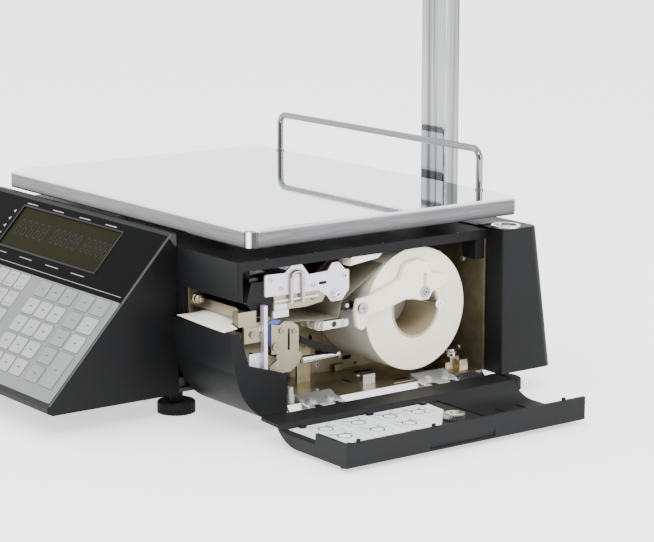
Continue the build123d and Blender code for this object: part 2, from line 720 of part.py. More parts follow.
with BuildPart() as hinge_plates:
    for centre in leaf_centres:
        along_y(
            [(101, floor_top), (109.6, floor_top), (118.4, 15.6), (118.4, 16.9), (101, 21.5)],
            centre - leaf_length / 2, centre + leaf_length / 2,
        )
        with Locations(Plane(origin=(hinge_x, centre - knuckle, hinge_z), z_dir=(0, 1, 0))):
            Cylinder(knuckle_radius, 2 * knuckle, align=up)
        for side in (-8, 8):
            screw((112.5, centre + side, 18.46), (0.256, 0, 0.967), head=2.9, length=1)
    for centre in leaf_centres:
        with Locations(Plane(origin=(hinge_x, centre - knuckle - 1, hinge_z), z_dir=(0, 1, 0))):
            Cylinder(pin_radius, 2 * knuckle + 2, align=up, mode=Mode.SUBTRACT)
        for start in (centre - leaf_length / 2 - 1, centre + knuckle):
            block((116.8, start, 10), (122, start + leaf_length / 2 - knuckle + 1, 20), mode=Mode.SUBTRACT)
hinge_plates.part.label = "hinge_plates"
export_step(hinge_plates.part, "parts/hinge_plates.step")

with BuildPart() as hinge_pins:
    for centre in leaf_centres:
        rod((hinge_x, centre - lug - 1, hinge_z), (0, 1, 0), pin_radius, 2 * lug + 2)
        rod((hinge_x, centre - lug - 2, hinge_z), (0, 1, 0), 2.0, 1.2)
hinge_pins.part.label = "hinge_pins"
export_step(hinge_pins.part, "parts/hinge_pins.step")

door_rim = rim_z - 0.4
floor_z = skin_z + door_skin
with BuildPart() as side_door:
    with BuildSketch(Plane.XZ.offset(-door_front)):
        with BuildLine():
            Line((half_width, skin_z), (168, skin_z))
            ThreePointArc((168, skin_z), (154.5, 6.4), (144.5, 14.2))
            Polyline((144.5, 14.2), (125, 15.1), (125, 17.4), (145.6, 16.6))
            ThreePointArc((145.6, 16.6), (155.6, 8.8), (168, floor_z))
            Polyline(
                (168, floor_z),
                (half_width - door_skin, floor_z),
                (half_width - door_skin, door_rim),
                (half_width, door_rim),
                (half_width, skin_z),
            )
        make_face()
    extrude(amount=door_front - door_rear)
    with BuildSketch(Plane.XZ.offset(-door_front)):
        with BuildLine():
            Polyline((half_width, door_rim), (half_width, skin_z), (168, skin_z))
            ThreePointArc((168, skin_z), (154.5, 6.4), (144.5, 14.2))
            Polyline((144.5, 14.2), (158, 12.6), (189, 12.6), (189, door_rim), (half_width, door_rim))
        make_face()
    extrude(amount=-door_skin)
    along_y(
        [(152, 11.2), (161, 7), (172, floor_z - 0.5), (214, floor_z - 0.5), (214, panel_z), (149, panel_z)],
        door_front + 1, 62,
    )
    along_y([(224.1, 5), (222.8, 5), (224.1, 13)], -5, 53, mode=Mode.SUBTRACT)
    for y in (-65, -0.7, 118):
        block((half_width - door_skin, y - 1.3, door_rim), (half_width - 1, y + 1.3, door_rim + 2))
    with Locations((214, -70, 1.2)):
        Cylinder(3, 3, align=up)
    with Locations((knob_x, knob_y, panel_z)):
        Cylinder(2.4, 4.2, align=up)
    for centre in leaf_centres:
        for start in (centre - lug, centre + knuckle + 0.3):
            width = lug - knuckle - 0.3
            along_y(
                [(118.6, 12.2), (122.5, 12.2), (134, 15.0), (134, 16.4), (122, 17.0), (118.6, 17.0)],
                start, start + width,
            )
            with Locations(Plane(origin=(hinge_x, start - 1, hinge_z), z_dir=(0, 1, 0))):
                Cylinder(pin_radius + run_clearance, width + 2, align=up, mode=Mode.SUBTRACT)
side_door.part.label = "side_door"
export_step(side_door.part, "parts/side_door.step")

with BuildPart() as door_knob:
    with Locations((knob_x, knob_y, panel_z + 0.3)):
        Cylinder(7.6, 4.2, align=up)
        Cylinder(2.4 + run_clearance, 5, align=up, mode=Mode.SUBTRACT)
        with PolarLocations(7.8, 28):
            Cylinder(0.5, 5, align=up, mode=Mode.SUBTRACT)
door_knob.part.label = "door_knob"
export_step(door_knob.part, "parts/door_knob.step")

with BuildPart() as door_sheet:
    with BuildSketch(Plane.XY.offset(panel_z)):
        with BuildLine():
            Polyline((150, -70), (150.6, 50.8), (172.8, 48.6), (206.9, 18.7), (211, -70), close=True)
        make_face()
    extrude(amount=0.4)
door_sheet.part.label = "door_sheet"
export_step(door_sheet.part, "parts/door_sheet.step")

# ---------------------------------------------------------------- weighing

with BuildPart() as load_cell:
    block(
        (cell_left, plate_y - cell_width / 2, pedestal_top),
        (cell_left + cell_length, plate_y + cell_width / 2, pedestal_top + cell_height),
    )
    for x in (plate_x - 12, plate_x + 12):
        with Locations(Plane(origin=(x, plate_y, pedestal_top + cell_height / 2), z_dir=(0, 1, 0))):
            Cylinder(8, cell_width + 2, mode=Mode.SUBTRACT)
    block(
        (plate_x - 12, plate_y - 20, pedestal_top + 9),
        (plate_x + 12, plate_y + 20, pedestal_top + 13), mode=Mode.SUBTRACT,
    )
load_cell.part.label = "load_cell"
export_step(load_cell.part, "parts/load_cell.step")

arm_reach_x, arm_reach_y = 140.0, 92.0
pad_height = 2.6
spider_top = plate_top - plate_sheet - pad_height
with BuildPart() as spider:
    block((post_x - 12, post_y - 12, pedestal_top + cell_height), (post_x + 12, post_y + 12, 134))
    block((plate_x - 70, plate_y - 11, 132), (plate_x + 70, plate_y + 11, spider_top))
    for side in (-1, 1):
        x = plate_x + side * 70
        block((x - 9, plate_y - arm_reach_y, 136), (x + 9, plate_y + arm_reach_y, spider_top))
        for end in (-1, 1):
            y = plate_y + end * arm_reach_y
            low, high = sorted((x, plate_x + side * arm_reach_x))
            block((low, y - 9, 138), (high, y + 9, spider_top))
            with Locations((plate_x + side * (arm_reach_x - 9), y, spider_top)):
                Cylinder(7, pad_height, align=up)
spider.part.label = "spider"
export_step(spider.part, "parts/spider.step")

with BuildPart() as load_plate:
    with Locations((plate_x, plate_y, plate_top - plate_skirt)):
        Box(plate_width, plate_depth, plate_skirt, align=up)
    chamfer(load_plate.edges().filter_by(Axis.Z), 7)
    fillet(load_plate.edges().filter_by(Axis.Z), 3)
    fillet(load_plate.faces().sort_by(Axis.Z)[-1].edges(), 2)
    offset(amount=-plate_sheet, openings=load_plate.faces().sort_by(Axis.Z)[0])
load_plate.part.label = "load_plate"
export_step(load_plate.part, "parts/load_plate.step")

guard_half, guard_y, guard_height, guard_wire = 130.5, 154.5, 31.0, 2.6
with BuildPart() as wire_guard:
    with BuildLine(Plane.XZ.offset(-guard_y)) as guard_path:
        FilletPolyline(
            (plate_x - guard_half, plate_top),
            (plate_x - guard_half, plate_top + guard_height),
            (plate_x + guard_half, plate_top + guard_height),
            (plate_x + guard_half, plate_top),
            radius=8,
        )
    with BuildSketch(Plane(origin=guard_path.line @ 0, z_dir=guard_path.line % 0)):
        Circle(guard_wire)
    sweep()
    with Locations((plate_x - guard_half, guard_y, plate_top), (plate_x + guard_half, guard_y, plate_top)):
        Cylinder(guard_wire + 0.7, 1.2, align=up)
wire_guard.part.label = "wire_guard"
export_step(wire_guard.part, "parts/wire_guard.step")


def levelling_foot(x, y):
    """A knurled foot and its stem, standing on the table at a point, in the current part."""
    with Locations((x, y, 0)):
        Cylinder(foot_radius, foot_height, align=up)
        Cylinder(stem_radius, 26, align=up)
        with PolarLocations(foot_radius + 0.4, 30):
            Cylinder(0.9, foot_height, align=up, mode=Mode.SUBTRACT)


with BuildPart() as foot_front_right:
    levelling_foot(*feet["front_right"])
foot_front_right.part.label = "foot_front_right"
export_step(foot_front_right.part, "parts/foot_front_right.step")

with BuildPart() as foot_rear_right:
    levelling_foot(*feet["rear_right"])
foot_rear_right.part.label = "foot_rear_right"
export_step(foot_rear_right.part, "parts/foot_rear_right.step")

with BuildPart() as foot_front_left:
    levelling_foot(*feet["front_left"])
foot_front_left.part.label = "foot_front_left"
export_step(foot_front_left.part, "parts/foot_front_left.step")

with BuildPart() as foot_rear_left:
    levelling_foot(*feet["rear_left"])
foot_rear_left.part.label = "foot_rear_left"
export_step(foot_rear_left.part, "parts/foot_rear_left.step")

# ---------------------------------------------------------------- mast and customer display

with BuildPart() as mast_socket:
    block((mast_x - 20.8, 170, 38.2), (mast_x + 20.8, half_depth, 111.8))
    fillet(mast_socket.edges().filter_by(Axis.Z).group_by(Axis.Y)[-1], 4)
    block(
        (mast_x - mast_width / 2, mast_y - mast_depth / 2, 44),
        (mast_x + mast_width / 2, mast_y + mast_depth / 2, 113), mode=Mode.SUBTRACT,
    )
mast_socket.part.label = "mast_socket"
export_step(mast_socket.part, "parts/mast_socket.step")

with BuildPart() as mast:
    with BuildSketch(Plane.XY.offset(44)):
        with Locations((mast_x, mast_y)):
            RectangleRounded(mast_width, mast_depth, 2)
            RectangleRounded(mast_width - 3, mast_depth - 3, 1, mode=Mode.SUBTRACT)
    extrude(amount=mast_top - 44)
mast.part.label = "mast"
export_step(mast.part, "parts/mast.step")

with BuildPart() as mast_cap:
    with Locations((mast_x, mast_y, mast_top - 14)):
        Box(mast_width - 3.8, mast_depth - 3.8, 14, align=up)
    with Locations((mast_x, mast_y, mast_top)):
        Box(mast_width + 2, mast_depth + 2, 3, align=up)
        Cylinder(4, 9, align=up)
mast_cap.part.label = "mast_cap"
export_step(mast_cap.part, "parts/mast_cap.step")

yoke_bottom = mast_top + 3.4
head_low, head_front, head_half = 407.0, 168.0, 100.0
with BuildPart() as display_yoke:
    with Locations((mast_x, mast_y, yoke_bottom)):
        Cylinder(9.5, 8, align=up)
        Cylinder(4 + run_clearance, 5.9, align=up, mode=Mode.SUBTRACT)
    block((mast_x - 11, mast_y - 5, yoke_bottom + 7), (mast_x + 11, mast_y + 3, tilt_z))
    rod_x(mast_y - 1, tilt_z, 4, mast_x - 11, mast_x + 11)
    rod_x(mast_y - 1, tilt_z, 2.5 + run_clearance, mast_x - 12, mast_x + 12, mode=Mode.SUBTRACT)
display_yoke.part.label = "display_yoke"
export_step(display_yoke.part, "parts/display_yoke.step")

with BuildPart() as display_head:
    block((mast_x - head_half, head_front, head_low), (mast_x + head_half, half_depth, total_height))
    fillet(display_head.edges().filter_by(Axis.Y), 6)
    fillet(display_head.faces().sort_by(Axis.Y)[0].edges(), 3)
    block(
        (mast_x - head_half + 3, head_front + 3, head_low + 3),
        (mast_x + head_half - 3, half_depth - 3, total_height - 3), mode=Mode.SUBTRACT,
    )
    block((mast_x - 93, half_depth - 1, 415), (mast_x + 93, half_depth + 1, 474), mode=Mode.SUBTRACT)
    block((mast_x - 15.5, head_front, head_low), (mast_x + 15.5, 193.5, tilt_z + 9))
    block(
        (mast_x - 12.5, head_front - 1, head_low - 1),
        (mast_x + 12.5, 192, tilt_z + 6), mode=Mode.SUBTRACT,
    )
    rod_x(mast_y - 1, tilt_z, 2.5, mast_x - 14, mast_x + 14)
display_head.part.label = "display_head"
export_step(display_head.part, "parts/display_head.step")

with BuildPart() as customer_window:
    block((mast_x - 92.8, half_depth - 1, 415.2), (mast_x + 92.8, half_depth, 473.8))
customer_window.part.label = "customer_window"
export_step(customer_window.part, "parts/customer_window.step")

# ---------------------------------------------------------------- electrical parts

with BuildPart() as connector_panel:
    along_x([(185.8, 30), (179.6, 70), (178.1, 70), (184.3, 30)], -176, -84)
    block((-161, 170, 40), (-131, 187, 60))
    block((-158, 174, 43), (-134, 188, 57), mode=Mode.SUBTRACT)
    for x, z in ((-152, 48), (-140, 48), (-146, 53)):
        block((x - 1, 173, z - 2), (x + 1, 184, z + 2))
    block((-122, 170, 42), (-106, 187, 56))
    block((-120, 175, 44), (-108, 188, 54), mode=Mode.SUBTRACT)
    block((-102, 170, 45), (-93, 187, 54))
    block((-100.5, 175, 46.5), (-94.5, 188, 52.5), mode=Mode.SUBTRACT)
connector_panel.part.label = "connector_panel"
export_step(connector_panel.part, "parts/connector_panel.step")

with BuildPart() as power_switch:
    with BuildSketch(Plane.XY.offset(40.6)):
        with BuildLine():
            Polyline(
                (-222.0, 91.2), (-222.6, 101), (-223.9, 110.6), (-219, 110.6), (-215.5, 103), (-215.5, 99),
                (-219, 91.2), close=True,
            )
        make_face()
    extrude(amount=12.8)
    with Locations((-217.5, 101, 38.5)):
        Cylinder(1.0, 17, align=up)
power_switch.part.label = "power_switch"
export_step(power_switch.part, "parts/power_switch.step")

with BuildPart() as main_board:
    block((-204, -60, 27), (-124, 70, 28.6))
    with Locations([(x, y, pan_top) for x in (-198, -130) for y in (-54, 64)]):
        Cylinder(3, 27 - pan_top, align=up)
    block((-196, -40, 28.6), (-170, -10, 31))
    block((-160, -48, 28.6), (-136, -40, 38))
    block((-198, 20, 28.6), (-150, 56, 46))
main_board.part.label = "main_board"
export_step(main_board.part, "parts/main_board.step")
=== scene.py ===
import bmesh
import bpy
import math
from mathutils import Matrix, Vector


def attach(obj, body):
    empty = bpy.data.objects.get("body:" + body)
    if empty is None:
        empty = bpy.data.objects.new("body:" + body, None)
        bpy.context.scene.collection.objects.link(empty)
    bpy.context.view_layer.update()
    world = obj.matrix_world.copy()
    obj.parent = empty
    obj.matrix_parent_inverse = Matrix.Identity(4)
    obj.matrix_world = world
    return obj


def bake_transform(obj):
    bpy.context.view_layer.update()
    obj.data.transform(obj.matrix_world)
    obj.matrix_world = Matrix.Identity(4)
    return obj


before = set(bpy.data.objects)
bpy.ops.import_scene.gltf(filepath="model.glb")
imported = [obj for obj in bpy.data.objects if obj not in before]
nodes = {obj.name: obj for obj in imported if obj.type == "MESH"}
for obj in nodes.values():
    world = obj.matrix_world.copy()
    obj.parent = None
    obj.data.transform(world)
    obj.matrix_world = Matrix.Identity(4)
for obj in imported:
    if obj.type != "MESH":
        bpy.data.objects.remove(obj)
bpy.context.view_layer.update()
MM = 0.001


# ------------------------------------------------------------------ materials
class Shader:
    """A Principled material and short ways to feed it from nodes, in metres of the object frame."""

    def __init__(self, name, metallic=0.0, soften=0.0004):
        self.material = bpy.data.materials.new(name)
        self.material.use_nodes = True
        self.tree = self.material.node_tree
        self.bsdf = self.tree.nodes["Principled BSDF"]
        self.bsdf.inputs["Metallic"].default_value = metallic
        self.place = self.node("ShaderNodeTexCoord").outputs["Object"]
        self.soft = None
        if soften:
            bevel = self.node("ShaderNodeBevel", samples=4)
            bevel.inputs["Radius"].default_value = soften
            self.soft = bevel.outputs["Normal"]
            self.link(self.soft, self.bsdf.inputs["Normal"])

    def node(self, kind, **settings):
        made = self.tree.nodes.new(kind)
        for key, value in settings.items():
            setattr(made, key, value)
        return made

    def link(self, a, b):
        self.tree.links.new(a, b)

    def put(self, value, socket):
        if isinstance(value, bpy.types.NodeSocket):
            self.link(value, socket)
        else:
            socket.default_value = value

    def stretched(self, stretch):
        mapping = self.node("ShaderNodeMapping")
        mapping.inputs["Scale"].default_value = stretch
        self.link(self.place, mapping.inputs["Vector"])
        return mapping.outputs["Vector"]

    def noise(self, scale, detail=3.0, rough=0.55, stretch=None, distortion=0.0):
        made = self.node("ShaderNodeTexNoise")
        made.inputs["Scale"].default_value = scale
        made.inputs["Detail"].default_value = detail
        made.inputs["Roughness"].default_value = rough
        made.inputs["Distortion"].default_value = distortion
        self.link(self.stretched(stretch) if stretch else self.place, made.inputs["Vector"])
        return made.outputs["Fac"]

    def math(self, operation, a, b=0.0):
        made = self.node("ShaderNodeMath", operation=operation)
        for value, socket in zip((a, b), made.inputs):
            self.put(value, socket)
        return made.outputs[0]

    def remap(self, value, low, high, to_low, to_high):
        made = self.node("ShaderNodeMapRange")
        made.clamp = True
        for v, s in zip((value, low, high, to_low, to_high), made.inputs):
            self.put(v, s)
        return made.outputs[0]

    def mix(self, factor, a, b):
        made = self.node("ShaderNodeMix", data_type="RGBA")
        self.put(factor, made.inputs[0])
        self.put(a if isinstance(a, bpy.types.NodeSocket) else (*a, 1), made.inputs[6])
        self.put(b if isinstance(b, bpy.types.NodeSocket) else (*b, 1), made.inputs[7])
        return made.outputs[2]

    def axis(self, index):
        made = self.node("ShaderNodeSeparateXYZ")
        self.link(self.place, made.inputs[0])
        return made.outputs[index]

    def colour(self, value):
        if not isinstance(value, bpy.types.NodeSocket):
            value = (*value, 1)
        self.put(value, self.bsdf.inputs["Base Color"])
        return self

    def rough(self, value):
        self.put(value, self.bsdf.inputs["Roughness"])
        return self

    def bump(self, height, distance):
        made = self.node("ShaderNodeBump")
        made.inputs["Distance"].default_value = distance
        self.link(height, made.inputs["Height"])
        if self.soft:
            self.link(self.soft, made.inputs["Normal"])
        self.link(made.outputs[0], self.bsdf.inputs["Normal"])
        self.soft = made.outputs[0]
        return self

    def set(self, **sockets):
        for name, value in sockets.items():
            self.bsdf.inputs[name.replace("_", " ")].default_value = value
        return self


def shade(colour, k):
    return tuple(min(1.0, c * k) for c in colour)


def plastic(name, colour, rough=0.42, grain=2600, depth=0.00003, spread=0.10, soften=0.0004, shine=0.5):
    """Moulded plastic: slow changes of tone, and a fine speckle that is its texture too."""
    s = Shader(name, soften=soften)
    cloudy = s.noise(35, 4)
    speckle = s.noise(grain, 2, 0.6)
    tone = s.mix(cloudy, shade(colour, 1 - spread), shade(colour, 1 + spread))
    s.colour(s.mix(s.remap(speckle, 0.45, 0.75, 0, 0.35), tone, shade(colour, 1.35)))
    s.rough(s.math("ADD", s.remap(cloudy, 0.3, 0.7, rough - 0.05, rough + 0.06),
                   s.remap(speckle, 0.3, 0.7, -0.03, 0.05)))
    s.bump(speckle, depth)
    s.set(Specular_IOR_Level=shine)
    return s.material


def metal(name, colour, rough=0.3, stretch=(1, 1, 1), scale=900, spread=0.10, depth=0.00001, cloud=45,
          stain=None, stain_amount=0.4, metallic=1.0):
    """Metal: a grain, and cloudy stains where a stain colour is given."""
    s = Shader(name, metallic=metallic, soften=0.0003)
    streak = s.noise(scale, 4, 0.65, stretch=stretch)
    cloudy = s.noise(cloud, 5, 0.6)
    tone = s.mix(streak, shade(colour, 1 - spread), shade(colour, 1 + spread))
    if stain:
        tone = s.mix(s.remap(cloudy, 0.42, 0.66, 0, stain_amount), tone, stain)
    s.colour(tone)
    s.rough(s.math("ADD", s.remap(streak, 0.3, 0.7, rough - 0.06, rough + 0.07),
                   s.remap(cloudy, 0.35, 0.7, -0.03, 0.06)))
    s.bump(streak, depth)
    return s.material


def paper(name, colour, warm, rough=0.75, fibre=1500, depth=0.00002):
    """Fibres, and warmer patches."""
    s = Shader(name, soften=0.0002)
    fine = s.noise(fibre, 4, 0.7)
    cloudy = s.noise(28, 3)
    fibres = s.mix(fine, shade(colour, 0.97), shade(colour, 1.02))
    s.colour(s.mix(s.remap(cloudy, 0.35, 0.7, 0, 0.55), fibres, warm))
    s.rough(s.remap(fine, 0.3, 0.7, rough - 0.06, rough + 0.06))
    s.bump(fine, depth)
    return s.material


HOUSING = plastic("housing", (0.0072, 0.0075, 0.0080), 0.46, depth=0.00004, shine=0.11)
DOOR = plastic("door_plastic", (0.0105, 0.0108, 0.0114), 0.48, depth=0.00004, shine=0.12)
CONSOLE = plastic("console", (0.0048, 0.0050, 0.0055), 0.40, shine=0.12)
BLACK = plastic("black_plastic", (0.0050, 0.0050, 0.0054), 0.45, shine=0.16)
RIM = plastic("grey_rim", (0.050, 0.050, 0.053), 0.45, shine=0.3)
IVORY = plastic("ivory", (0.94, 0.915, 0.68), 0.42, grain=1800, spread=0.04, soften=0.0014)
CREAM = plastic("cream", (0.78, 0.73, 0.60), 0.40, spread=0.05)
HUB = plastic("hub_grey", (0.46, 0.45, 0.42), 0.5, spread=0.06)
ACETAL = plastic("acetal", (0.80, 0.78, 0.70), 0.38, spread=0.04)
BLUE = plastic("blue", (0.045, 0.075, 0.24), 0.35, spread=0.08)
RUBBER = plastic("rubber", (0.014, 0.014, 0.014), 0.68, grain=3500, depth=0.00006, shine=0.3)
FOOT = plastic("foot", (0.006, 0.006, 0.006), 0.5, shine=0.16)

OLIVE = metal("olive_sheet", (0.34, 0.30, 0.20), 0.34, stretch=(1, 0.06, 1), scale=500, spread=0.18,
              stain=(0.15, 0.115, 0.06), stain_amount=0.6, metallic=0.9)
TAN = metal("tan_sheet", (0.27, 0.235, 0.165), 0.36, scale=700, spread=0.14, stain=(0.40, 0.35, 0.25),
            metallic=0.85)
STEEL = metal("dull_steel", (0.40, 0.385, 0.35), 0.26, scale=1100, spread=0.16)
ZINC = metal("zinc", (0.66, 0.66, 0.67), 0.34, scale=600, spread=0.14, stain=(0.52, 0.48, 0.42),
             metallic=0.85)
SCREW = metal("screw_zinc", (0.33, 0.33, 0.35), 0.24, scale=900, spread=0.12)
LILAC = metal("lilac_zinc", (0.62, 0.60, 0.67), 0.42, scale=500, spread=0.08, stain=(0.70, 0.61, 0.70),
              stain_amount=0.6, metallic=0.6)
BRIGHT = metal("bright_steel", (0.76, 0.76, 0.78), 0.15, scale=1400, spread=0.06)
CAST = metal("cast", (0.55, 0.55, 0.56), 0.5, scale=1600, depth=0.00008, spread=0.12)
KNURL = metal("knurled_knob", (0.36, 0.34, 0.30), 0.32, scale=900, spread=0.2)
BRASSY = metal("nickel_brass", (0.50, 0.43, 0.29), 0.30, scale=900, spread=0.12)
PAN = metal("powder_coat", (0.018, 0.018, 0.020), 0.55, scale=2200, depth=0.00008, metallic=0.0)
MOTOR = metal("motor_can", (0.03, 0.03, 0.03), 0.35, scale=900, metallic=0.6)
CHROME = metal("chrome", (0.20, 0.205, 0.21), 0.07, scale=1500, spread=0.03, depth=0.000004, cloud=90)
# The paper web's liner is painted darker: painted shade for its place inside the bay under the upper parts.
LINER_PAINTED_SHADE = paper("liner", (0.27, 0.245, 0.18), (0.19, 0.17, 0.12), 0.4)
LABEL = paper("label", (0.88, 0.865, 0.74), (0.82, 0.80, 0.67), 0.6)
BOARD = paper("core_board", (0.44, 0.38, 0.25), (0.34, 0.28, 0.17), 0.85, fibre=900, depth=0.0001)


def mast_chrome():
    """Chromed tube with long upright bands of painted reflection."""
    s = Shader("mast_chrome", metallic=1.0, soften=0.001)
    reflection_bands = s.noise(75, 3, 0.6, stretch=(1, 1, 0.012))
    fine = s.noise(900, 3, 0.6, stretch=(1, 1, 0.03))
    # Painted reflection: the base colour runs in dark and light upright bands.
    s.colour(s.mix(s.remap(reflection_bands, 0.42, 0.56, 0, 1), (0.035, 0.035, 0.038), (0.34, 0.345, 0.355)))
    s.rough(s.remap(fine, 0.3, 0.7, 0.05, 0.11))
    s.bump(fine, 0.000003)
    return s.material


MAST = mast_chrome()


def plate_steel():
    """Polished stainless with a fine grain and faint wipe marks; its folded skirt is rougher and painted
    darker as painted shade, darker still towards its bottom edge, with painted reflection stripes, and a
    painted highlight and a painted shadow along the front corner's crease.
    """
    s = Shader("plate_steel", metallic=1.0, soften=0.0012)
    grain = s.noise(1300, 4, 0.7, stretch=(0.02, 1, 1))
    wipe = s.noise(9, 4, 0.6, stretch=(1, 2.4, 1), distortion=0.6)
    height = s.axis(2)
    side = s.remap(height, 0.1476, 0.1490, 1.0, 0.0)
    top = s.mix(grain, (0.84, 0.855, 0.88), (0.90, 0.91, 0.93))
    # Painted reflection: upright stripes in the skirt's tone.
    skirt_reflection = s.noise(60, 5, 0.6, stretch=(0.5, 0.5, 9), distortion=0.4)
    # Painted shade: the skirt darkens towards its bottom edge.
    band = s.math("MULTIPLY", s.remap(height, 0.1372, 0.1418, 0.0, 1.0),
                  s.remap(skirt_reflection, 0.32, 0.66, 0.55, 1.0))
    # The skirt is painted as a darker copy of the same steel: painted shade.
    skirt = s.mix(band, (0.030, 0.030, 0.032), s.mix(grain, (0.105, 0.105, 0.11), (0.18, 0.18, 0.185)))
    # Along the front corner's crease: a painted highlight, with a painted shadow beside it.
    along = s.math("ADD", s.axis(0), s.axis(1))
    fold = s.remap(s.math("ABSOLUTE", s.math("SUBTRACT", along, 0.0385)), 0.0012, 0.0030, 1.0, 0.0)
    shadow = s.remap(s.math("ABSOLUTE", s.math("SUBTRACT", along, 0.0440)), 0.0016, 0.0036, 1.0, 0.0)
    corner = s.remap(s.math("SUBTRACT", s.axis(0), s.axis(1)), 0.2030, 0.2036, 0.0, 1.0)
    skirt = s.mix(s.math("MULTIPLY", shadow, corner), skirt, (0.05, 0.05, 0.052))
    skirt = s.mix(s.math("MULTIPLY", fold, corner), skirt, (0.90, 0.90, 0.91))
    s.colour(s.mix(side, top, skirt))
    smooth = s.math("ADD", s.remap(grain, 0.3, 0.7, 0.012, 0.030), s.remap(wipe, 0.45, 0.7, 0.0, 0.02))
    s.rough(s.math("ADD", smooth, s.math("MULTIPLY", side, 0.12)))
    s.bump(grain, 0.000003)
    return s.material


def roll_paper():
    """Wound label stock: rings on the faces, and label gaps round the outside."""
    s = Shader("wound_paper", soften=0.0005)
    y = s.math("SUBTRACT", s.axis(1), 0.0758)
    z = s.math("SUBTRACT", s.axis(2), 0.072)
    radius = s.math("SQRT", s.math("ADD", s.math("MULTIPLY", y, y), s.math("MULTIPLY", z, z)))
    rings = s.node("ShaderNodeTexNoise", noise_dimensions="1D")
    s.link(s.math("MULTIPLY", radius, 4200), rings.inputs["W"])
    rings.inputs["Scale"].default_value = 1.0
    rings.inputs["Detail"].default_value = 3
    broad = s.node("ShaderNodeTexNoise", noise_dimensions="1D")
    s.link(s.math("MULTIPLY", radius, 420), broad.inputs["W"])
    broad.inputs["Scale"].default_value = 1.0
    wound = s.mix(rings.outputs["Fac"], (0.93, 0.905, 0.68), (0.96, 0.94, 0.76))
    wound = s.mix(s.remap(broad.outputs["Fac"], 0.4, 0.65, 0, 0.35), wound, (0.88, 0.84, 0.60))
    turn = s.math("ARCTAN2", z, y)
    gap = s.math("PINGPONG", s.math("MULTIPLY", turn, 3.5), 1.0)
    edge = s.remap(gap, 0.0, 0.035, 1.0, 0.0)
    outer = s.mix(edge, (0.70, 0.675, 0.59), (0.50, 0.45, 0.33))
    s.colour(s.mix(s.remap(radius, 0.0452, 0.0456, 0, 1), wound, outer))
    s.rough(s.remap(rings.outputs["Fac"], 0.3, 0.7, 0.55, 0.8))
    s.bump(rings.outputs["Fac"], 0.00004)
    s.set(Subsurface_Weight=0.08, Subsurface_Scale=0.002)
    return s.material


def lcd_glass():
    s = Shader("lcd_glass", soften=0)
    cloudy = s.noise(18, 3)
    s.colour(s.mix(cloudy, (0.0105, 0.0110, 0.0036), (0.0150, 0.0155, 0.0052)))
    s.rough(s.remap(cloudy, 0.3, 0.7, 0.16, 0.24))
    s.set(Specular_IOR_Level=0.012)
    return s.material


def film(name, colour, rough, texture=0.000006, shine=0.5):
    s = Shader(name, soften=0)
    fine = s.noise(4200, 2, 0.6)
    cloudy = s.noise(24, 3)
    s.colour(s.mix(cloudy, shade(colour, 0.93), shade(colour, 1.07)))
    s.rough(s.remap(fine, 0.3, 0.7, rough - 0.04, rough + 0.05))
    s.bump(fine, texture)
    s.set(Specular_IOR_Level=shine)
    return s.material


def smoked():
    s = Shader("smoked_window", soften=0)
    cloudy = s.noise(14, 3)
    s.colour(s.mix(cloudy, (0.006, 0.007, 0.009), (0.010, 0.011, 0.014)))
    s.rough(s.remap(cloudy, 0.3, 0.7, 0.05, 0.10))
    s.set(Specular_IOR_Level=0.12)
    return s.material


def board_green():
    s = Shader("circuit_board", soften=0)
    tracks = s.node("ShaderNodeTexBrick")
    s.link(s.stretched((160, 160, 160)), tracks.inputs["Vector"])
    tracks.inputs["Color1"].default_value = (0.010, 0.085, 0.035, 1)
    tracks.inputs["Color2"].default_value = (0.012, 0.10, 0.042, 1)
    tracks.inputs["Mortar"].default_value = (0.03, 0.16, 0.07, 1)
    s.colour(tracks.outputs["Color"])
    s.rough(s.remap(s.noise(300, 2), 0.3, 0.7, 0.25, 0.4))
    return s.material


FILM_BLACK = film("overlay_film", (0.0026, 0.0027, 0.0030), 0.34, shine=0.012)
FILM_SILVER = film("keypad_film", (0.15, 0.153, 0.157), 0.42)
KEY_LIGHT = film("key_light", (0.31, 0.315, 0.32), 0.40)
KEY_GREY = film("key_grey", (0.19, 0.194, 0.20), 0.40)
INK_WHITE = film("ink_white", (0.30, 0.305, 0.31), 0.5, shine=0.1)
INK_GREY = film("ink_grey", (0.10, 0.10, 0.105), 0.6, shine=0.1)
# Dark ink for print, joints and segments; on screw crosses, slots and vents it is painted shade.
DARK_INK_AND_SHADE = film("dark_ink_and_shade", (0.010, 0.010, 0.011), 0.6, shine=0.1)
SHEET = paper("sheet_paper", (0.82, 0.84, 0.87), (0.78, 0.79, 0.80), 0.55)
LCD = lcd_glass()
SMOKED = smoked()
GREEN_BOARD = board_green()

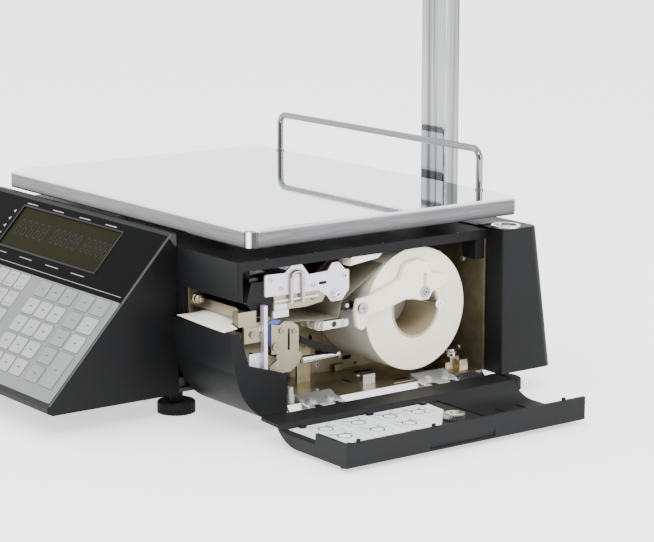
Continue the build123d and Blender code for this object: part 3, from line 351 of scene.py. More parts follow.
look = {
    "base_pan": PAN, "top_cover": HOUSING, "rear_column": HOUSING, "bubble_level": ZINC,
    "console_housing": CONSOLE, "display_overlay": FILM_BLACK, "lcd_module": LCD,
    "keypad_overlay": FILM_SILVER, "lower_front_cover": HOUSING, "printer_floor": OLIVE,
    "printer_wall": OLIVE, "catch_keeper": IVORY, "latch_block": BRASSY, "floor_studs": ZINC,
    "roll_core": BOARD, "label_roll": roll_paper(), "spindle_rods": BRIGHT, "arm_post": SCREW,
    "roll_arm": IVORY, "side_bracket": TAN, "edge_plate": LILAC, "guide_block": TAN, "peel_bar": TAN,
    "tie_bars": ZINC, "liner_guide": OLIVE, "guide_roller": CREAM, "feed_roller": RUBBER,
    "platen_roller": RUBBER, "platen_gear": ACETAL, "idler_gear": ACETAL, "motor_pinion": ACETAL,
    "stepper_motor": MOTOR, "release_lever": BLUE, "head_bracket": LILAC, "thermal_head": BLACK,
    "head_bail": STEEL, "paper_web": LINER_PAINTED_SHADE, "printed_label": LABEL, "hinge_plates": ZINC,
    "hinge_pins": BRIGHT, "side_door": DOOR, "door_knob": KNURL, "door_sheet": SHEET, "load_cell": CAST,
    "spider": CAST, "load_plate": plate_steel(), "wire_guard": CHROME, "foot_front_right": FOOT,
    "foot_rear_right": FOOT, "foot_front_left": FOOT, "foot_rear_left": FOOT, "mast_socket": HOUSING,
    "mast": MAST, "mast_cap": BLACK, "display_yoke": BLACK, "display_head": HOUSING,
    "customer_window": SMOKED, "connector_panel": BLACK, "power_switch": BLACK,
    "main_board": GREEN_BOARD,
}
for name, obj in nodes.items():
    obj.data.materials.clear()
    obj.data.materials.append(look[name])


# ------------------------------------------------------------------ pieces, in millimetres
def at(origin, normal=(0, 0, 1), across=(1, 0, 0)):
    """A placement in millimetres: its z is the normal and its x runs across."""
    z = Vector(normal).normalized()
    x = (Vector(across) - z * z.dot(Vector(across))).normalized()
    turn = Matrix((x, z.cross(x), z)).transposed().to_4x4()
    return Matrix.Scale(MM, 4) @ Matrix.Translation(origin) @ turn


HERE = at((0, 0, 0))
SIDE = at((0, 0, 0), (1, 0, 0), (0, 1, 0))  # across is +Y, up is +Z and height is +X


def round_outline(x, y, radius, sides=28):
    steps = [2 * math.pi * i / sides for i in range(sides)]
    return [(x + radius * math.cos(a), y + radius * math.sin(a)) for a in steps]


def soft_outline(x0, y0, x1, y1, radius, steps=4):
    """A rectangle with round corners."""
    corners = ((x1 - radius, y1 - radius, 0), (x0 + radius, y1 - radius, 1), (x0 + radius, y0 + radius, 2),
               (x1 - radius, y0 + radius, 3))
    points = []
    for cx, cy, quarter in corners:
        for i in range(steps + 1):
            a = math.pi / 2 * (quarter + i / steps)
            points.append((cx + radius * math.cos(a), cy + radius * math.sin(a)))
    return points


class Piece:
    """Shapes gathered in one object that rides on a CAD body, or, when it is given two, stays unparented
    where it was built, and has one finish.
    """

    def __init__(self, name, body, material, slot, bevel=0.15):
        self.name, self.body, self.material, self.slot, self.bevel = name, body, material, slot, bevel
        self.mesh = bmesh.new()

    def prism(self, outline, low, high, place=HERE):
        rings = [[self.mesh.verts.new(place @ Vector((x, y, z))) for x, y in outline] for z in (low, high)]
        self.mesh.faces.new(rings[0][::-1])
        self.mesh.faces.new(rings[1])
        for i in range(len(outline)):
            j = (i + 1) % len(outline)
            self.mesh.faces.new((rings[0][i], rings[0][j], rings[1][j], rings[1][i]))
        return self

    def box(self, low, high, place=HERE):
        (x0, y0, z0), (x1, y1, z1) = low, high
        return self.prism([(x0, y0), (x1, y0), (x1, y1), (x0, y1)], z0, z1, place)

    def pill(self, x0, y0, x1, y1, radius, low, high, place=HERE):
        return self.prism(soft_outline(x0, y0, x1, y1, radius), low, high, place)

    def disc(self, x, y, radius, low, high, place=HERE, sides=28):
        return self.prism(round_outline(x, y, radius, sides), low, high, place)

    def ring(self, x, y, inner, outer, low, high, place=HERE, sides=40):
        loops = []
        for r, z in ((outer, low), (outer, high), (inner, high), (inner, low)):
            outline = round_outline(x, y, r, sides)
            loops.append([self.mesh.verts.new(place @ Vector((px, py, z))) for px, py in outline])
        for a, b in zip(loops, loops[1:] + loops[:1]):
            for i in range(sides):
                j = (i + 1) % sides
                self.mesh.faces.new((a[i], a[j], b[j], b[i]))
        return self

    def bars(self, low, high, wide_x, wide_y, place=HERE):
        """A rectangular frame of four bars between two corners, with a width along x and one along y."""
        (x0, y0, z0), (x1, y1, z1) = low, high
        self.box(low, (x1, y0 + wide_y, z1), place).box((x0, y1 - wide_y, z0), high, place)
        self.box((x0, y0 + wide_y, z0), (x0 + wide_x, y1 - wide_y, z1), place)
        return self.box((x1 - wide_x, y0 + wide_y, z0), (x1, y1 - wide_y, z1), place)

    def tube(self, points, radius, sides=10):
        points = [Vector(p) for p in points]
        side, loops = None, []
        for i, p in enumerate(points):
            ahead = (points[min(i + 1, len(points) - 1)] - points[max(i - 1, 0)]).normalized()
            if side is None:
                side = ahead.orthogonal().normalized()
            side = (side - ahead * side.dot(ahead)).normalized()
            other = ahead.cross(side)
            angles = [2 * math.pi * k / sides for k in range(sides)]
            around = [HERE @ (p + radius * (math.cos(a) * side + math.sin(a) * other)) for a in angles]
            loops.append([self.mesh.verts.new(point) for point in around])
        for a, b in zip(loops, loops[1:]):
            for i in range(sides):
                j = (i + 1) % sides
                self.mesh.faces.new((a[i], a[j], b[j], b[i]))
        self.mesh.faces.new(loops[0][::-1])
        self.mesh.faces.new(loops[-1])
        return self

    def coil(self, start, end, radius, wire, turns):
        """A helical spring between two points."""
        start, end = Vector(start), Vector(end)
        along = end - start
        u = along.orthogonal().normalized()
        v = along.normalized().cross(u)
        count = int(turns * 14)
        path = []
        for i in range(count + 1):
            a = 2 * math.pi * turns * i / count
            path.append(start + along * (i / count) + radius * (math.cos(a) * u + math.sin(a) * v))
        return self.tube(path, wire, 7)

    def ribbon(self, path, width, thickness):
        """A flat band along (y, z) points, from x = width[0] to x = width[1]."""
        upper, lower = [], []
        for i, (y, z) in enumerate(path):
            ay, az = path[max(i - 1, 0)]
            by, bz = path[min(i + 1, len(path) - 1)]
            length = math.hypot(by - ay, bz - az)
            ny, nz = -(bz - az) / length * thickness / 2, (by - ay) / length * thickness / 2
            upper.append((y + ny, z + nz))
            lower.append((y - ny, z - nz))
        return self.prism(upper + lower[::-1], width[0], width[1], SIDE)

    def screw(self, point, normal, radius=2.2, height=1.2, across=(1, 0.13, 0.07)):
        """A domed screw head, with dark cross marks as painted shade in its cross recess."""
        place = at(point, normal, across)
        steps = 4
        for i in range(steps):
            low, high = i / steps, (i + 1) / steps
            step = radius * math.sqrt(1 - 0.62 * low * low)
            self.disc(0, 0, step, height * low, height * high, place, 24)
        a, b = radius * 0.55, radius * 0.13
        for x, y in ((b, a), (a, b)):
            recess(self.body).box((-x, -y, height - 0.02), (x, y, height + 0.03), place)
        return self

    def done(self):
        """Makes the object, with sharp edges kept sharp, and ties it to its body when it has one body."""
        bmesh.ops.recalc_face_normals(self.mesh, faces=self.mesh.faces)
        for face in self.mesh.faces:
            face.smooth = True
        for edge in self.mesh.edges:
            if len(edge.link_faces) == 2 and edge.calc_face_angle(0) > 0.6:
                edge.smooth = False
        data = bpy.data.meshes.new(self.name)
        self.mesh.to_mesh(data)
        self.mesh.free()
        obj = bpy.data.objects.new(self.name, data)
        data.materials.append(self.material)
        bpy.context.scene.collection.objects.link(obj)
        if self.bevel:
            bevel = obj.modifiers.new("edge", "BEVEL")
            bevel.width = self.bevel * MM
            bevel.segments = 2
            bevel.limit_method = "ANGLE"
            bevel.angle_limit = 0.7
        if isinstance(self.body, tuple):
            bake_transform(obj)
        else:
            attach(obj, self.body)
        return obj


RECESSES = {}


def recess(body):
    """The piece that gathers the dark cross marks of a body's screws: painted shade in their cross
    recesses.
    """
    if body not in RECESSES:
        RECESSES[body] = Piece("recess_" + body, body, DARK_INK_AND_SHADE, "black_plastic", 0)
    return RECESSES[body]


# ---- console: rim, end cap, keys, overlay marks, display
tilt = math.atan2(113.0, 104.0)
SLOPE = at((-93.5, -91, 136), (0, -math.sin(tilt), math.cos(tilt)))
rim = Piece("console_rim", "frame", RIM, "key_film", 0.12)
rim.box((129.5, -151.5, -0.7), (130.35, -0.4, 0.12), SLOPE)
rim.box((-130.35, -151.5, -0.7), (-129.5, -0.4, 0.12), SLOPE)
rim.prism([(-93.6, 132.7), (-91.2, 135.6), (-88.0, 135.6), (-87.4, 126.6), (-88.6, 126.6)], 37.0, 37.35,
          SIDE)
rim.done()

light_keys, grey_keys = [], []  # centre and half size of each key
key_rows = [-70.5 - 15.6 * i for i in range(5)]
for row, y in enumerate(key_rows):
    block = light_keys if row else grey_keys  # the top row of the right-hand block is grey
    light_keys += [(-120 + column * 16.4, y, 7.2, 6.6) for column in range(8)]
    block += [(27 + column * 18.5, y, 8.2, 6.6) for column in range(3)]
    grey_keys.append((88, y, 8.6, 6.6))
    if row < 3:
        block.append((109.5, y, 9.4, 6.6))
grey_keys.append((109.5, (key_rows[3] + key_rows[4]) / 2, 9.4, 14.4))
outlines = Piece("key_outlines", "frame", INK_GREY, "key_film", 0)
marks = Piece("key_marks", "frame", INK_GREY, "key_film", 0)
for label, material, keys in (("light", KEY_LIGHT, light_keys), ("grey", KEY_GREY, grey_keys)):
    pad = Piece("keys_" + label, "frame", material, "key_film", 0.25)
    for x, y, half_x, half_y in keys:
        pad.pill(x - half_x, y - half_y, x + half_x, y + half_y, 1.6, -0.2, 0.34, SLOPE)
        out_x, out_y = half_x + 0.45, half_y + 0.45
        outlines.pill(x - out_x, y - out_y, x + out_x, y + out_y, 1.9, -0.12, 0.0, SLOPE)
        if half_x < 8:
            marks.box((x - 4.2, y + 3.0, 0.33), (x + 2.6, y + 3.45, 0.38), SLOPE)
            marks.box((x - 4.2, y - 4.3, 0.33), (x + 4.2, y - 3.85, 0.38), SLOPE)
        else:
            marks.box((x - 1.9, y - 0.5, 0.33), (x + 1.9, y + 0.5, 0.38), SLOPE)
    pad.done()
marks.done()
outlines.done()

print_marks = Piece("overlay_marks", "frame", INK_WHITE, "key_film", 0)
for x in (-62, -22, 18, 56):
    print_marks.box((x - 10, -7.3, -0.12), (x + 6, -6.5, -0.04), SLOPE)
    print_marks.box((x - 10, -52.0, -0.12), (x + 9, -51.4, -0.04), SLOPE)
for i in range(4):
    y = -16 - 7 * i
    print_marks.prism([(-84.0, y), (-80.6, y + 1.6), (-80.6, y - 1.6)], -0.12, -0.04, SLOPE)
print_marks.box((-124, -58.4, -0.12), (124, -58.0, -0.04), SLOPE)
print_marks.done()

bezel = Piece("lcd_bezel", "frame", BLACK, "display_film", 0.2)
bezel.bars((-75, -47.4, -1.0), (75, -8.6, 0.25), 1.8, 1.4, SLOPE).done()


def digit(piece, x, y, width, height, thick, low, high, place):
    """The seven segments of a digit."""
    h = height / 2
    for side, rise in ((0, h), (1, h / 2), (1, -h / 2), (0, -h), (-1, -h / 2), (-1, h / 2), (0, 0)):
        cx, cy = x + side * width / 2, y + rise
        a, b = (thick / 2, (h - 1.3 * thick) / 2) if side else ((width - 1.3 * thick) / 2, thick / 2)
        outline = ([(-a, -b), (0, -b - a), (a, -b), (a, b), (0, b + a), (-a, b)] if side else
                   [(-a, -b), (a, -b), (a + b, 0), (a, b), (-a, b), (-a - b, 0)])
        piece.prism([(cx + px, cy + py) for px, py in outline], low, high, place)


segments = Piece("lcd_segments", "frame", DARK_INK_AND_SHADE, "lcd", 0)
for i in range(5):
    digit(segments, -62 + i * 9.5, -27, 5.2, 13, 1.3, -1.0, -0.94, SLOPE)
    digit(segments, -8 + i * 8.5, -27, 4.8, 12, 1.2, -1.0, -0.94, SLOPE)
    digit(segments, 38 + i * 7.4, -27, 4.2, 12, 1.1, -1.0, -0.94, SLOPE)
segments.done()

# ---- load plate: folded seams at the corners and a lip under the skirt
seams = Piece("plate_seams", "plate", DARK_INK_AND_SHADE, "plate_steel", 0)
for x, y in ((119.2, -84.98), (-212.2, -84.98), (119.2, 159.98), (-212.2, 159.98)):
    seams.box((x - 0.12, y - 0.03, 137.6), (x + 0.12, y + 0.03, 148.4))
for x in (-218.98, 125.98):
    for y in (-78.2, 153.2):
        seams.box((x - 0.03, y - 0.12, 137.6), (x + 0.03, y + 0.12, 148.4))
seams.done()
lip = Piece("plate_lip", "plate", BRIGHT, "plate_steel", 0.2)
lip.box((-211, -84.8, 137.0), (118, -82.2, 137.9)).box((-211, 157.2, 137.0), (118, 159.8, 137.9))
lip.box((-218.8, -77, 137.0), (-216.2, 152, 137.9)).box((123.2, -77, 137.0), (125.8, 152, 137.9))
lip.done()

# ---- bubble level
vial = Piece("level_vial", "frame", film("vial_green", (0.16, 0.26, 0.05), 0.10), "level_body", 0.1)
vial.disc(118.5, 151.5, 8.4, 126.9, 127.5, sides=40).done()
scribe = Piece("level_ring", "frame", DARK_INK_AND_SHADE, "level_body", 0)
scribe.ring(118.5, 151.5, 3.4, 3.8, 127.5, 127.56).done()
bubble = Piece("level_bubble", "frame", film("bubble", (0.62, 0.70, 0.48), 0.06), "level_body", 0.3)
bubble.disc(118.9, 151.1, 2.7, 127.4, 127.75, sides=28).done()
level_rim = Piece("level_rim", "frame", BRIGHT, "zinc_steel", 0.25)
level_rim.ring(118.5, 151.5, 8.5, 10.9, 127.2, 128.45).done()

# ---- printer bay: wall slots, screws, ribs, lip edge, cables and wires
# Painted shade: flat dark marks stand in for the slots and holes in the bay's wall and floor.
dark_holes = Piece("bay_slots", "frame", DARK_INK_AND_SHADE, "black_plastic", 0)
WALL_X = 45.5  # the face of the bay's wall
wall = at((WALL_X, 0, 0), (1, 0, 0), (0, 1, 0))
for y, z, w, h in ((-40, 60, 7, 2.2), (-18, 96, 3, 9), (2, 58, 9, 2.5), (20, 104, 8, 3), (34, 34, 12, 4),
                   (58, 26, 8, 3), (104, 112, 10, 3), (118, 70, 3, 12), (126, 40, 3, 9), (-62, 46, 5, 3),
                   (24, 44, 3, 8)):
    dark_holes.pill(y - w / 2, z - h / 2, y + w / 2, z + h / 2, min(w, h) / 2.05, -0.05, 0.06, wall)
for y, z, r in ((-30, 40, 1.9), (40, 60, 2.4), (12, 34, 1.6), (110, 26, 2.2), (-50, 112, 1.8),
                (66, 20.5, 1.2)):
    dark_holes.disc(y, z, r, -0.05, 0.06, wall)
for x, y, w, h in ((60, 62, 5, 16), (78, 34, 12, 3), (70, 112, 14, 3), (96, 70, 3, 12), (56, -16, 3, 14),
                   (84, 104, 6, 2.5)):
    dark_holes.pill(x - w / 2, y - h / 2, x + w / 2, y + h / 2, min(w, h) / 2.05, 17.55, 17.66)
dark_holes.done()
fixings = Piece("bay_screws", "frame", ZINC, "zinc_steel", 0.08)
for y, z in ((36, 112), (96, 114), (130, 60), (130, 26), (30, 24), (-66, 30)):
    fixings.screw((WALL_X, y, z), (1, 0, 0), 2.0, 1.1, (0, 1, 0.2))
for x, y in ((52, -30), (52, 130), (84, 130), (70, 50), (96, 88), (58, 92)):
    fixings.screw((x, y, 17.6), (0, 0, 1), 2.1, 1.1)
for x, z in ((60, 30), (84, 30), (60, 100), (88, 100)):
    fixings.screw((x, 135.9, z), (0, -1, 0), 2.1, 1.1)
for y in (-62, -20, 40, 110):
    fixings.screw((112.6, y, 126.0), (0, 0, 1), 0.9, 0.05)
fixings.done()
embossed = Piece("bay_wall_ribs", "frame", OLIVE, "bay_metal", 0.5)
embossed.pill(-56, 96, -20, 100, 1.9, 0, 0.8, wall).pill(36, 40, 40, 66, 1.9, 0, 0.8, wall)
embossed.pill(106, 88, 130, 92, 1.9, 0, 0.8, wall).pill(52, 114.5, 96, 117.5, 1.4, 0, 0.8, wall)
embossed.box((46, 44, 0), (49.5, 52, 5), at((0, 0, 17.6))).box((104.2, 56, 17.5), (106, 122, 18.3))
embossed.done()
lip_edge = Piece("floor_lip_edge", "frame", BRIGHT, "bay_metal", 0.15)
lip_edge.prism([(109.9, 17.5), (114.3, 12.9), (114.7, 13.1), (110.3, 17.75)], -137.0, 43.5,
               at((0, 0, 0), (0, -1, 0)))
lip_edge.done()
cable_path = [(-50, 99.5), (-42, 103.5), (-30, 104.8), (-16, 104.2), (-6, 102.5), (2, 104.5), (10, 110),
              (14, 114), (20, 116.2), (30, 117)]
cable = Piece("head_cable", ("print_head", "frame", (0.073, -0.030, 0.104), (0.073, 0.024, 0.117)),
              film("cable_brown", (0.16, 0.075, 0.03), 0.35), "black_plastic", 0.05)
for x in range(62, 84, 2):
    cable.ribbon(cable_path, (x, x + 1.85), 0.35)
wires = {"wire_red": (0.32, 0.02, 0.015), "wire_white": (0.62, 0.61, 0.57),
         "wire_black": (0.012, 0.012, 0.012), "wire_blue": (0.03, 0.07, 0.30)}


def bend(points, steps=10):
    """A smooth path through points."""
    points = [Vector(p) for p in points]
    out = []
    for i in range(len(points) - 1):
        a, b = points[max(i - 1, 0)], points[i]
        c, d = points[i + 1], points[min(i + 2, len(points) - 1)]
        for k in range(steps):
            t = k / steps
            out.append(0.5 * (2 * b + (c - a) * t + (2 * a - 5 * b + 4 * c - d) * t * t
                              + (3 * b - a - 3 * c + d) * t * t * t))
    return out + [points[-1]]


for i, (label, colour) in enumerate(wires.items()):
    lead = Piece(label, "frame", film(label, colour, 0.4), "black_plastic", 0)
    y = 1.7 * i
    lead.tube(bend([(46.8, 24 + y, 118), (48.4, 25 + y, 108), (47.6, 28 + y, 98 - y), (48.8, 32 + y, 88),
                    (47.4, 36 + y, 76), (48.2, 36 + y, 60), (46.8, 34 + y, 50)]), 0.62, 8)
    lead.done()
tie = Piece("cable_tie", "frame", IVORY, "ivory_plastic", 0.1)
tie.box((46.0, 23.6, 104), (49.6, 33.6, 105.6)).box((48.6, 33.2, 103.4), (50.0, 35.0, 106.2)).done()
cable.done()

# ---- print head: heat sink fins, springs, screws
fins = Piece("head_fins", "print_head", MOTOR, "black_plastic", 0.12)
for i in range(17):
    x = 50 + 3.05 * i
    fins.prism([(-71.5, 99), (-67.6, 110.4), (-60.6, 110.4), (-60.6, 107.8), (-68.4, 107.8)], x, x + 1.1,
               SIDE)
fins.done()
element = Piece("head_line", "print_head", BRIGHT, "bright_steel", 0.08)
element.box((48, -63.4, 83.3), (102, -60.6, 83.6)).box((48, -72.9, 93.4), (102, -72.2, 94.2)).done()
springs = Piece("head_springs", "print_head", BRIGHT, "bright_steel", 0)
for x in (60, 88):
    springs.coil((x, -44, 93.5), (x, -44, 107), 3.0, 0.42, 8)
springs.done()
head_screws = Piece("head_screws", "print_head", ZINC, "zinc_steel", 0.08)
for y, z in ((-53.6, 108.4), (-44.5, 101.5), (-16.5, 101), (11, 104.5)):
    head_screws.screw((105.5, y, z), (1, 0, 0), 1.9, 1.0, (0, 1, 0.3))
head_screws.screw((70, -32, 109.5), (0, 0, 1), 1.9, 1.0)
head_screws.done()
# Painted shade: a flat dark mark stands in for the slot in the head's side.
head_slots = Piece("head_slots", "print_head", DARK_INK_AND_SHADE, "black_plastic", 0)
head_slots.pill(-12, 100.4, -5, 102.6, 1.05, 105.45, 105.55, SIDE).done()

# ---- chassis: dark guide bar, brass collar, spring of the lever
guide_bar = Piece("guide_bar", "frame", BLACK, "black_plastic", 0.3)
guide_bar.prism([(-25.6, 64.2), (-26.2, 59.4), (6.2, 46.2), (8.6, 50.0)], 99.6, 102.4, SIDE).done()
collar = Piece("brass_collar", "frame", BRASSY, "zinc_casting", 0.3)
collar.disc(-85.0, 91.8, 3.2, 56.4, 62.6, SIDE).disc(-85.0, 91.8, 1.8, 54.8, 66, SIDE)
collar.ring(-85.0, 91.8, 2.8, 3.5, 58.6, 59.2, SIDE).done()
lever_spring = Piece("lever_spring", "frame", BRIGHT, "bright_steel", 0)
lever_spring.coil((106.6, -49.4, 58.4), (106.6, -49.4, 46.8), 1.1, 0.25, 7).done()

# ---- roll arm, spindle and exit rod
arm_screws = Piece("arm_screws", "arm", SCREW, "bright_steel", 0.1)
arm_screws.ring(80.6, 85.0, 2.6, 4.3, 111.7, 112.5, SIDE)
arm_screws.screw((111.8, 80.6, 85.0), (1, 0, 0), 2.5, 1.0, (0, 1, 0.4)).done()
arm_notch = Piece("arm_notch", "arm", HUB, "ivory_plastic", 0.15)
arm_notch.pill(78.9, 89.6, 82.3, 97.4, 0.8, 110.2, 110.9, SIDE).done()
hub = Piece("spindle_hub", "frame", HUB, "zinc_casting", 0.4)
ROLL_Y, ROLL_Z = 75.8, 72
hub.disc(ROLL_Y, ROLL_Z, 19.3, 69.2, 70.6, SIDE, 56).ring(ROLL_Y, ROLL_Z, 16.4, 17.4, 70.5, 71.1, SIDE, 56)
hub.ring(ROLL_Y, ROLL_Z, 4.0, 6.0, 70.5, 72.6, SIDE).pill(66, 62, 74, 64.5, 1, 70.5, 71.1, SIDE)
hub.done()
rod_end = Piece("spindle_end", "frame", BRIGHT, "bright_steel", 0.2)
rod_end.ring(92.7, 74.4, 1.6, 3.5, 112.3, 113.4, SIDE).disc(92.7, 74.4, 1.0, 112, 113.6, SIDE).done()
exit_rod = Piece("exit_rod", "frame", BRIGHT, "bay_metal", 0.1)
for i in range(8):
    a, b = i / 8, (i + 1) / 8
    taper = 2.95 - 1.1 * (a + b) / 2
    exit_rod.disc(100, -46, taper, -23.4 + 33 * a, -23.4 + 33 * b + 0.05, at((0, 0, 0), (0, 1, 0)))
exit_rod.done()

# ---- head carrier, pivot cap, shaft end, latch dome
carrier = Piece("head_carrier", "print_head", TAN, "tan_sheet", 0.1)
carrier.prism([(-49.7, 86.1), (-22, 85.7), (-8.2, 87.7), (-5.6, 91.6), (-12.4, 96.2), (-49.7, 97)],
              103.9, 104.12, SIDE)
carrier.screw((104.1, -16, 91), (1, 0, 0), 1.7, 0.9, (0, 1, 0.3))
carrier.screw((104.1, -31, 91), (1, 0, 0), 1.3, 0.7).done()
pivot_cap = Piece("head_pivot_cap", "frame", BRIGHT, "zinc_steel", 0.15)
pivot_cap.ring(3.0, 92.0, 2.3, 3.9, 105.6, 106.3, SIDE)
pivot_cap.screw((107.6, 3.0, 92.0), (1, 0, 0), 3.0, 1.3, (0, 1, 0.5)).done()
shaft_cap = Piece("platen_shaft_end", "platen", BRIGHT, "bright_steel", 0.2)
shaft_cap.disc(-62, 75.3, 2.62, 104.5, 106.3, SIDE)
shaft_cap.box((-63.2, 75.0, 106.2), (-60.8, 75.6, 106.4), SIDE).done()
dome = Piece("latch_dome", "frame", BRIGHT, "zinc_casting", 0.2)
dome.disc(97, 117, 5.15, 28.9, 31.6).screw((97, 117, 31.5), (0, 0, 1), 5.0, 3.0, (1, 0.6, 0)).done()

# ---- hinges: spring wires
HINGE_CENTRES, WIRE_OFFSET = (-15.0, 91.0), 12.4  # along y
hinge_wire = Piece("hinge_springs", "frame", BRIGHT, "bright_steel", 0)
for centre in HINGE_CENTRES:
    for side in (-1, 1):
        y = centre + side * WIRE_OFFSET
        hinge_wire.coil((120, y - 0.8 * side, 14.5), (120, y + 2.6 * side, 14.5), 2.0, 0.38, 4)
        near, far = y + 2.6 * side, y + 2.8 * side
        hinge_wire.tube(bend([(118.2, near, 15.2), (116, far, 17.6), (108, near, 19.9)]), 0.38, 8)
hinge_wire.done()

# ---- door: sheet drawings, tabs, ribs, knob
drawing = Piece("sheet_drawings", "door", DARK_INK_AND_SHADE, "sheet_paper", 0)
sheet_top = at((0, 0, 13.4))


def stroke(points, width):
    """A pen line on the door's sheet."""
    for (ax, ay), (bx, by) in zip(points, points[1:]):
        length = math.hypot(bx - ax, by - ay)
        nx, ny = -(by - ay) / length * width / 2, (bx - ax) / length * width / 2
        outline = [(ax - nx, ay - ny), (bx - nx, by - ny), (bx + nx, by + ny), (ax + nx, ay + ny)]
        drawing.prism(outline, 0.0, 0.03, sheet_top)


for cx, cy in ((162, -50), (184, -50), (162, -22), (184, -22), (162, 6), (184, 6), (164, 30)):
    x0, x1, y0, y1 = cx - 9, cx + 9, cy - 11, cy + 11
    stroke([(x0, y0), (x1, y0), (x1, y1), (x0, y1), (x0, y0)], 0.3)
    stroke([*round_outline(cx + 2, cy + 1, 5.0, 20), (cx + 7, cy + 1)], 1.0)
    stroke([(cx - 7, cy - 6), (cx - 3, cy - 2), (cx - 3, cy + 6), (cx + 1, cy + 9)], 1.4)
    stroke([(cx - 7, cy - 8.5), (cx + 7, cy - 8.5)], 0.5)
    drawing.disc(cx - 5.5, cy + 7.5, 1.1, 0, 0.03, sheet_top)
for i in range(9):
    y = -62 + 5.4 * i
    stroke([(197.4, y), (205.8 - (i % 3) * 1.6, y)], 0.55)
stroke([(154, -66.5), (206, -66.5)], 0.3)
drawing.done()
tabs = Piece("sheet_tabs", "door", BLACK, "black_plastic", 0.1)
for cx, cy in ((152.4, -60), (152.6, -2), (152.8, 46), (207.6, -62), (208.4, -6)):
    tabs.pill(cx - 1.8, cy - 2.6, cx + 1.8, cy + 2.6, 0.8, 12.9, 15.2)
tabs.done()
ribs = Piece("door_ribs", "door", DOOR, "housing_plastic", 0.25)
for y in (78, 98, 118):
    ribs.box((172, y - 0.6, 5.9), (221.6, y + 0.6, 6.9))
for x in (184, 204):
    ribs.box((x - 0.6, 62, 5.9), (x + 0.6, 137, 6.9))
ribs.box((213.8, -73.6, 12.9), (215.0, 62, 13.9)).box((150, 61.0, 12.9), (215, 62.2, 13.9))
ribs.done()
KNOB_X, KNOB_Y = 195, 40
knob_cap = Piece("knob_cap", "knob", BRIGHT, "black_plastic", 0.2)
for i in range(28):
    a = 2 * math.pi * i / 28
    cx, cy = KNOB_X + 7.1 * math.cos(a), KNOB_Y + 7.1 * math.sin(a)
    knob_cap.prism(round_outline(cx, cy, 0.55, 6), 13.4, 17.3)
knob_cap.ring(KNOB_X, KNOB_Y, 3.2, 6.2, 17.3, 17.8).ring(KNOB_X, KNOB_Y, 0.9, 2.0, 17.1, 17.9)
knob_cap.box((KNOB_X - 5.4, KNOB_Y - 0.5, 17.4), (KNOB_X + 5.4, KNOB_Y + 0.5, 17.9)).done()

# ---- housing seams, deck flap, left vents
PAN_Z, DECK_Z = 17.5, 126.0  # the housing's underside and its deck
LEFT_X = -224
seam = Piece("housing_seams", "frame", DARK_INK_AND_SHADE, "housing_plastic", 0)
seam.box((113.95, 60, 119.0), (114.03, 60.4, DECK_Z)).box((40.0, -87.03, 98.4), (112.4, -86.98, 98.8))
seam.box((-224.03, -84.0, 24), (-223.98, -83.6, DECK_Z)).box((-223, -86.9, DECK_Z), (36, -86.5, 126.05))
seam.done()
deck_flap = Piece("deck_flap", "frame", RIM, "key_film", 0.3)
deck_flap.pill(99, 139.8, 104.5, 160, 1.0, 127.0, 127.9).done()
# Painted shade: flat dark marks stand in for the vent slots.
slots = Piece("left_vents", "frame", DARK_INK_AND_SHADE, "black_plastic", 0)
for i in range(14):
    slots.pill(-10, 0, 10, 2.2, 1.0, -0.04, 0.01, at((LEFT_X, 20, 60 + 4.2 * i), (-1, 0, 0), (0, -1, 0)))
slots.done()

# ---- rear: vents, blank plate, screws, contacts, connector frames
REAR_LOW_Y, REAR_HIGH_Y = 191.0, 174.5  # the rear face leans in towards the deck
slant = math.atan2(REAR_LOW_Y - REAR_HIGH_Y, DECK_Z - PAN_Z)
OUTWARD = (0, math.cos(slant), math.sin(slant))
BACK = at((0, REAR_LOW_Y, PAN_Z), OUTWARD, (-1, 0, 0))
# Painted shade: flat dark marks stand in for the vent slots.
vents = Piece("rear_vents", "frame", DARK_INK_AND_SHADE, "black_plastic", 0)
for i in range(12):
    vents.pill(70 + 6 * i, 44, 72.6 + 6 * i, 76, 1.2, -0.04, 0.06, BACK)
for i in range(9):
    vents.pill(-96 + 5 * i, 30, -93.6 + 5 * i, 58, 1.1, -0.04, 0.06, BACK)
vents.done()
plate_blank = Piece("rating_plate", "frame", FILM_SILVER, "key_film", 0.05)
plate_blank.pill(118, 84, 168, 104, 1.5, 0, 0.2, BACK).done()
back_screws = Piece("rear_screws", "frame", KNURL, "zinc_steel", 0.08)
for x, y in ((-216, 30), (-216, 110), (56, 30), (56, 100), (-70, 30), (-60, 110)):
    spot = (x, REAR_LOW_Y - y * math.sin(slant), PAN_Z + y * math.cos(slant))
    back_screws.screw(spot, OUTWARD, 2.6, 1.3)
for z in (56, 96):
    for x in (-17.5, 15.5):
        back_screws.screw((x, 193.65, z), (0, 1, 0), 1.6, 1.3)
back_screws.done()
pins = Piece("contacts", "frame", BRASSY, "bright_steel", 0.1)
for x, z in ((-152, 48), (-140, 48), (-146, 53)):
    pins.box((x - 1.2, 174, z - 2.2), (x + 1.2, 184.6, z + 2.2))
for i in range(8):
    pins.box((-118.6 + 1.2 * i, 176, 45.0), (-118.2 + 1.2 * i, 186, 45.4))
for i in range(4):
    pins.box((-99.6 + 1.2 * i, 176, 47.2), (-99.2 + 1.2 * i, 186, 47.6))
pins.done()
gasket = Piece("connector_frames", "frame", RIM, "housing_plastic", 0.2)
for x0, x1, z0, z1 in ((-162, -130, 39, 61), (-123, -105, 41, 57), (-103, -92, 44, 55)):
    for a, b in (((x0, 186.4, z0), (x1, 187.2, z0 + 1)), ((x0, 186.4, z1 - 1), (x1, 187.2, z1)),
                 ((x0, 186.4, z0), (x0 + 1, 187.2, z1)), ((x1 - 1, 186.4, z0), (x1, 187.2, z1))):
        gasket.box(a, b)
gasket.done()

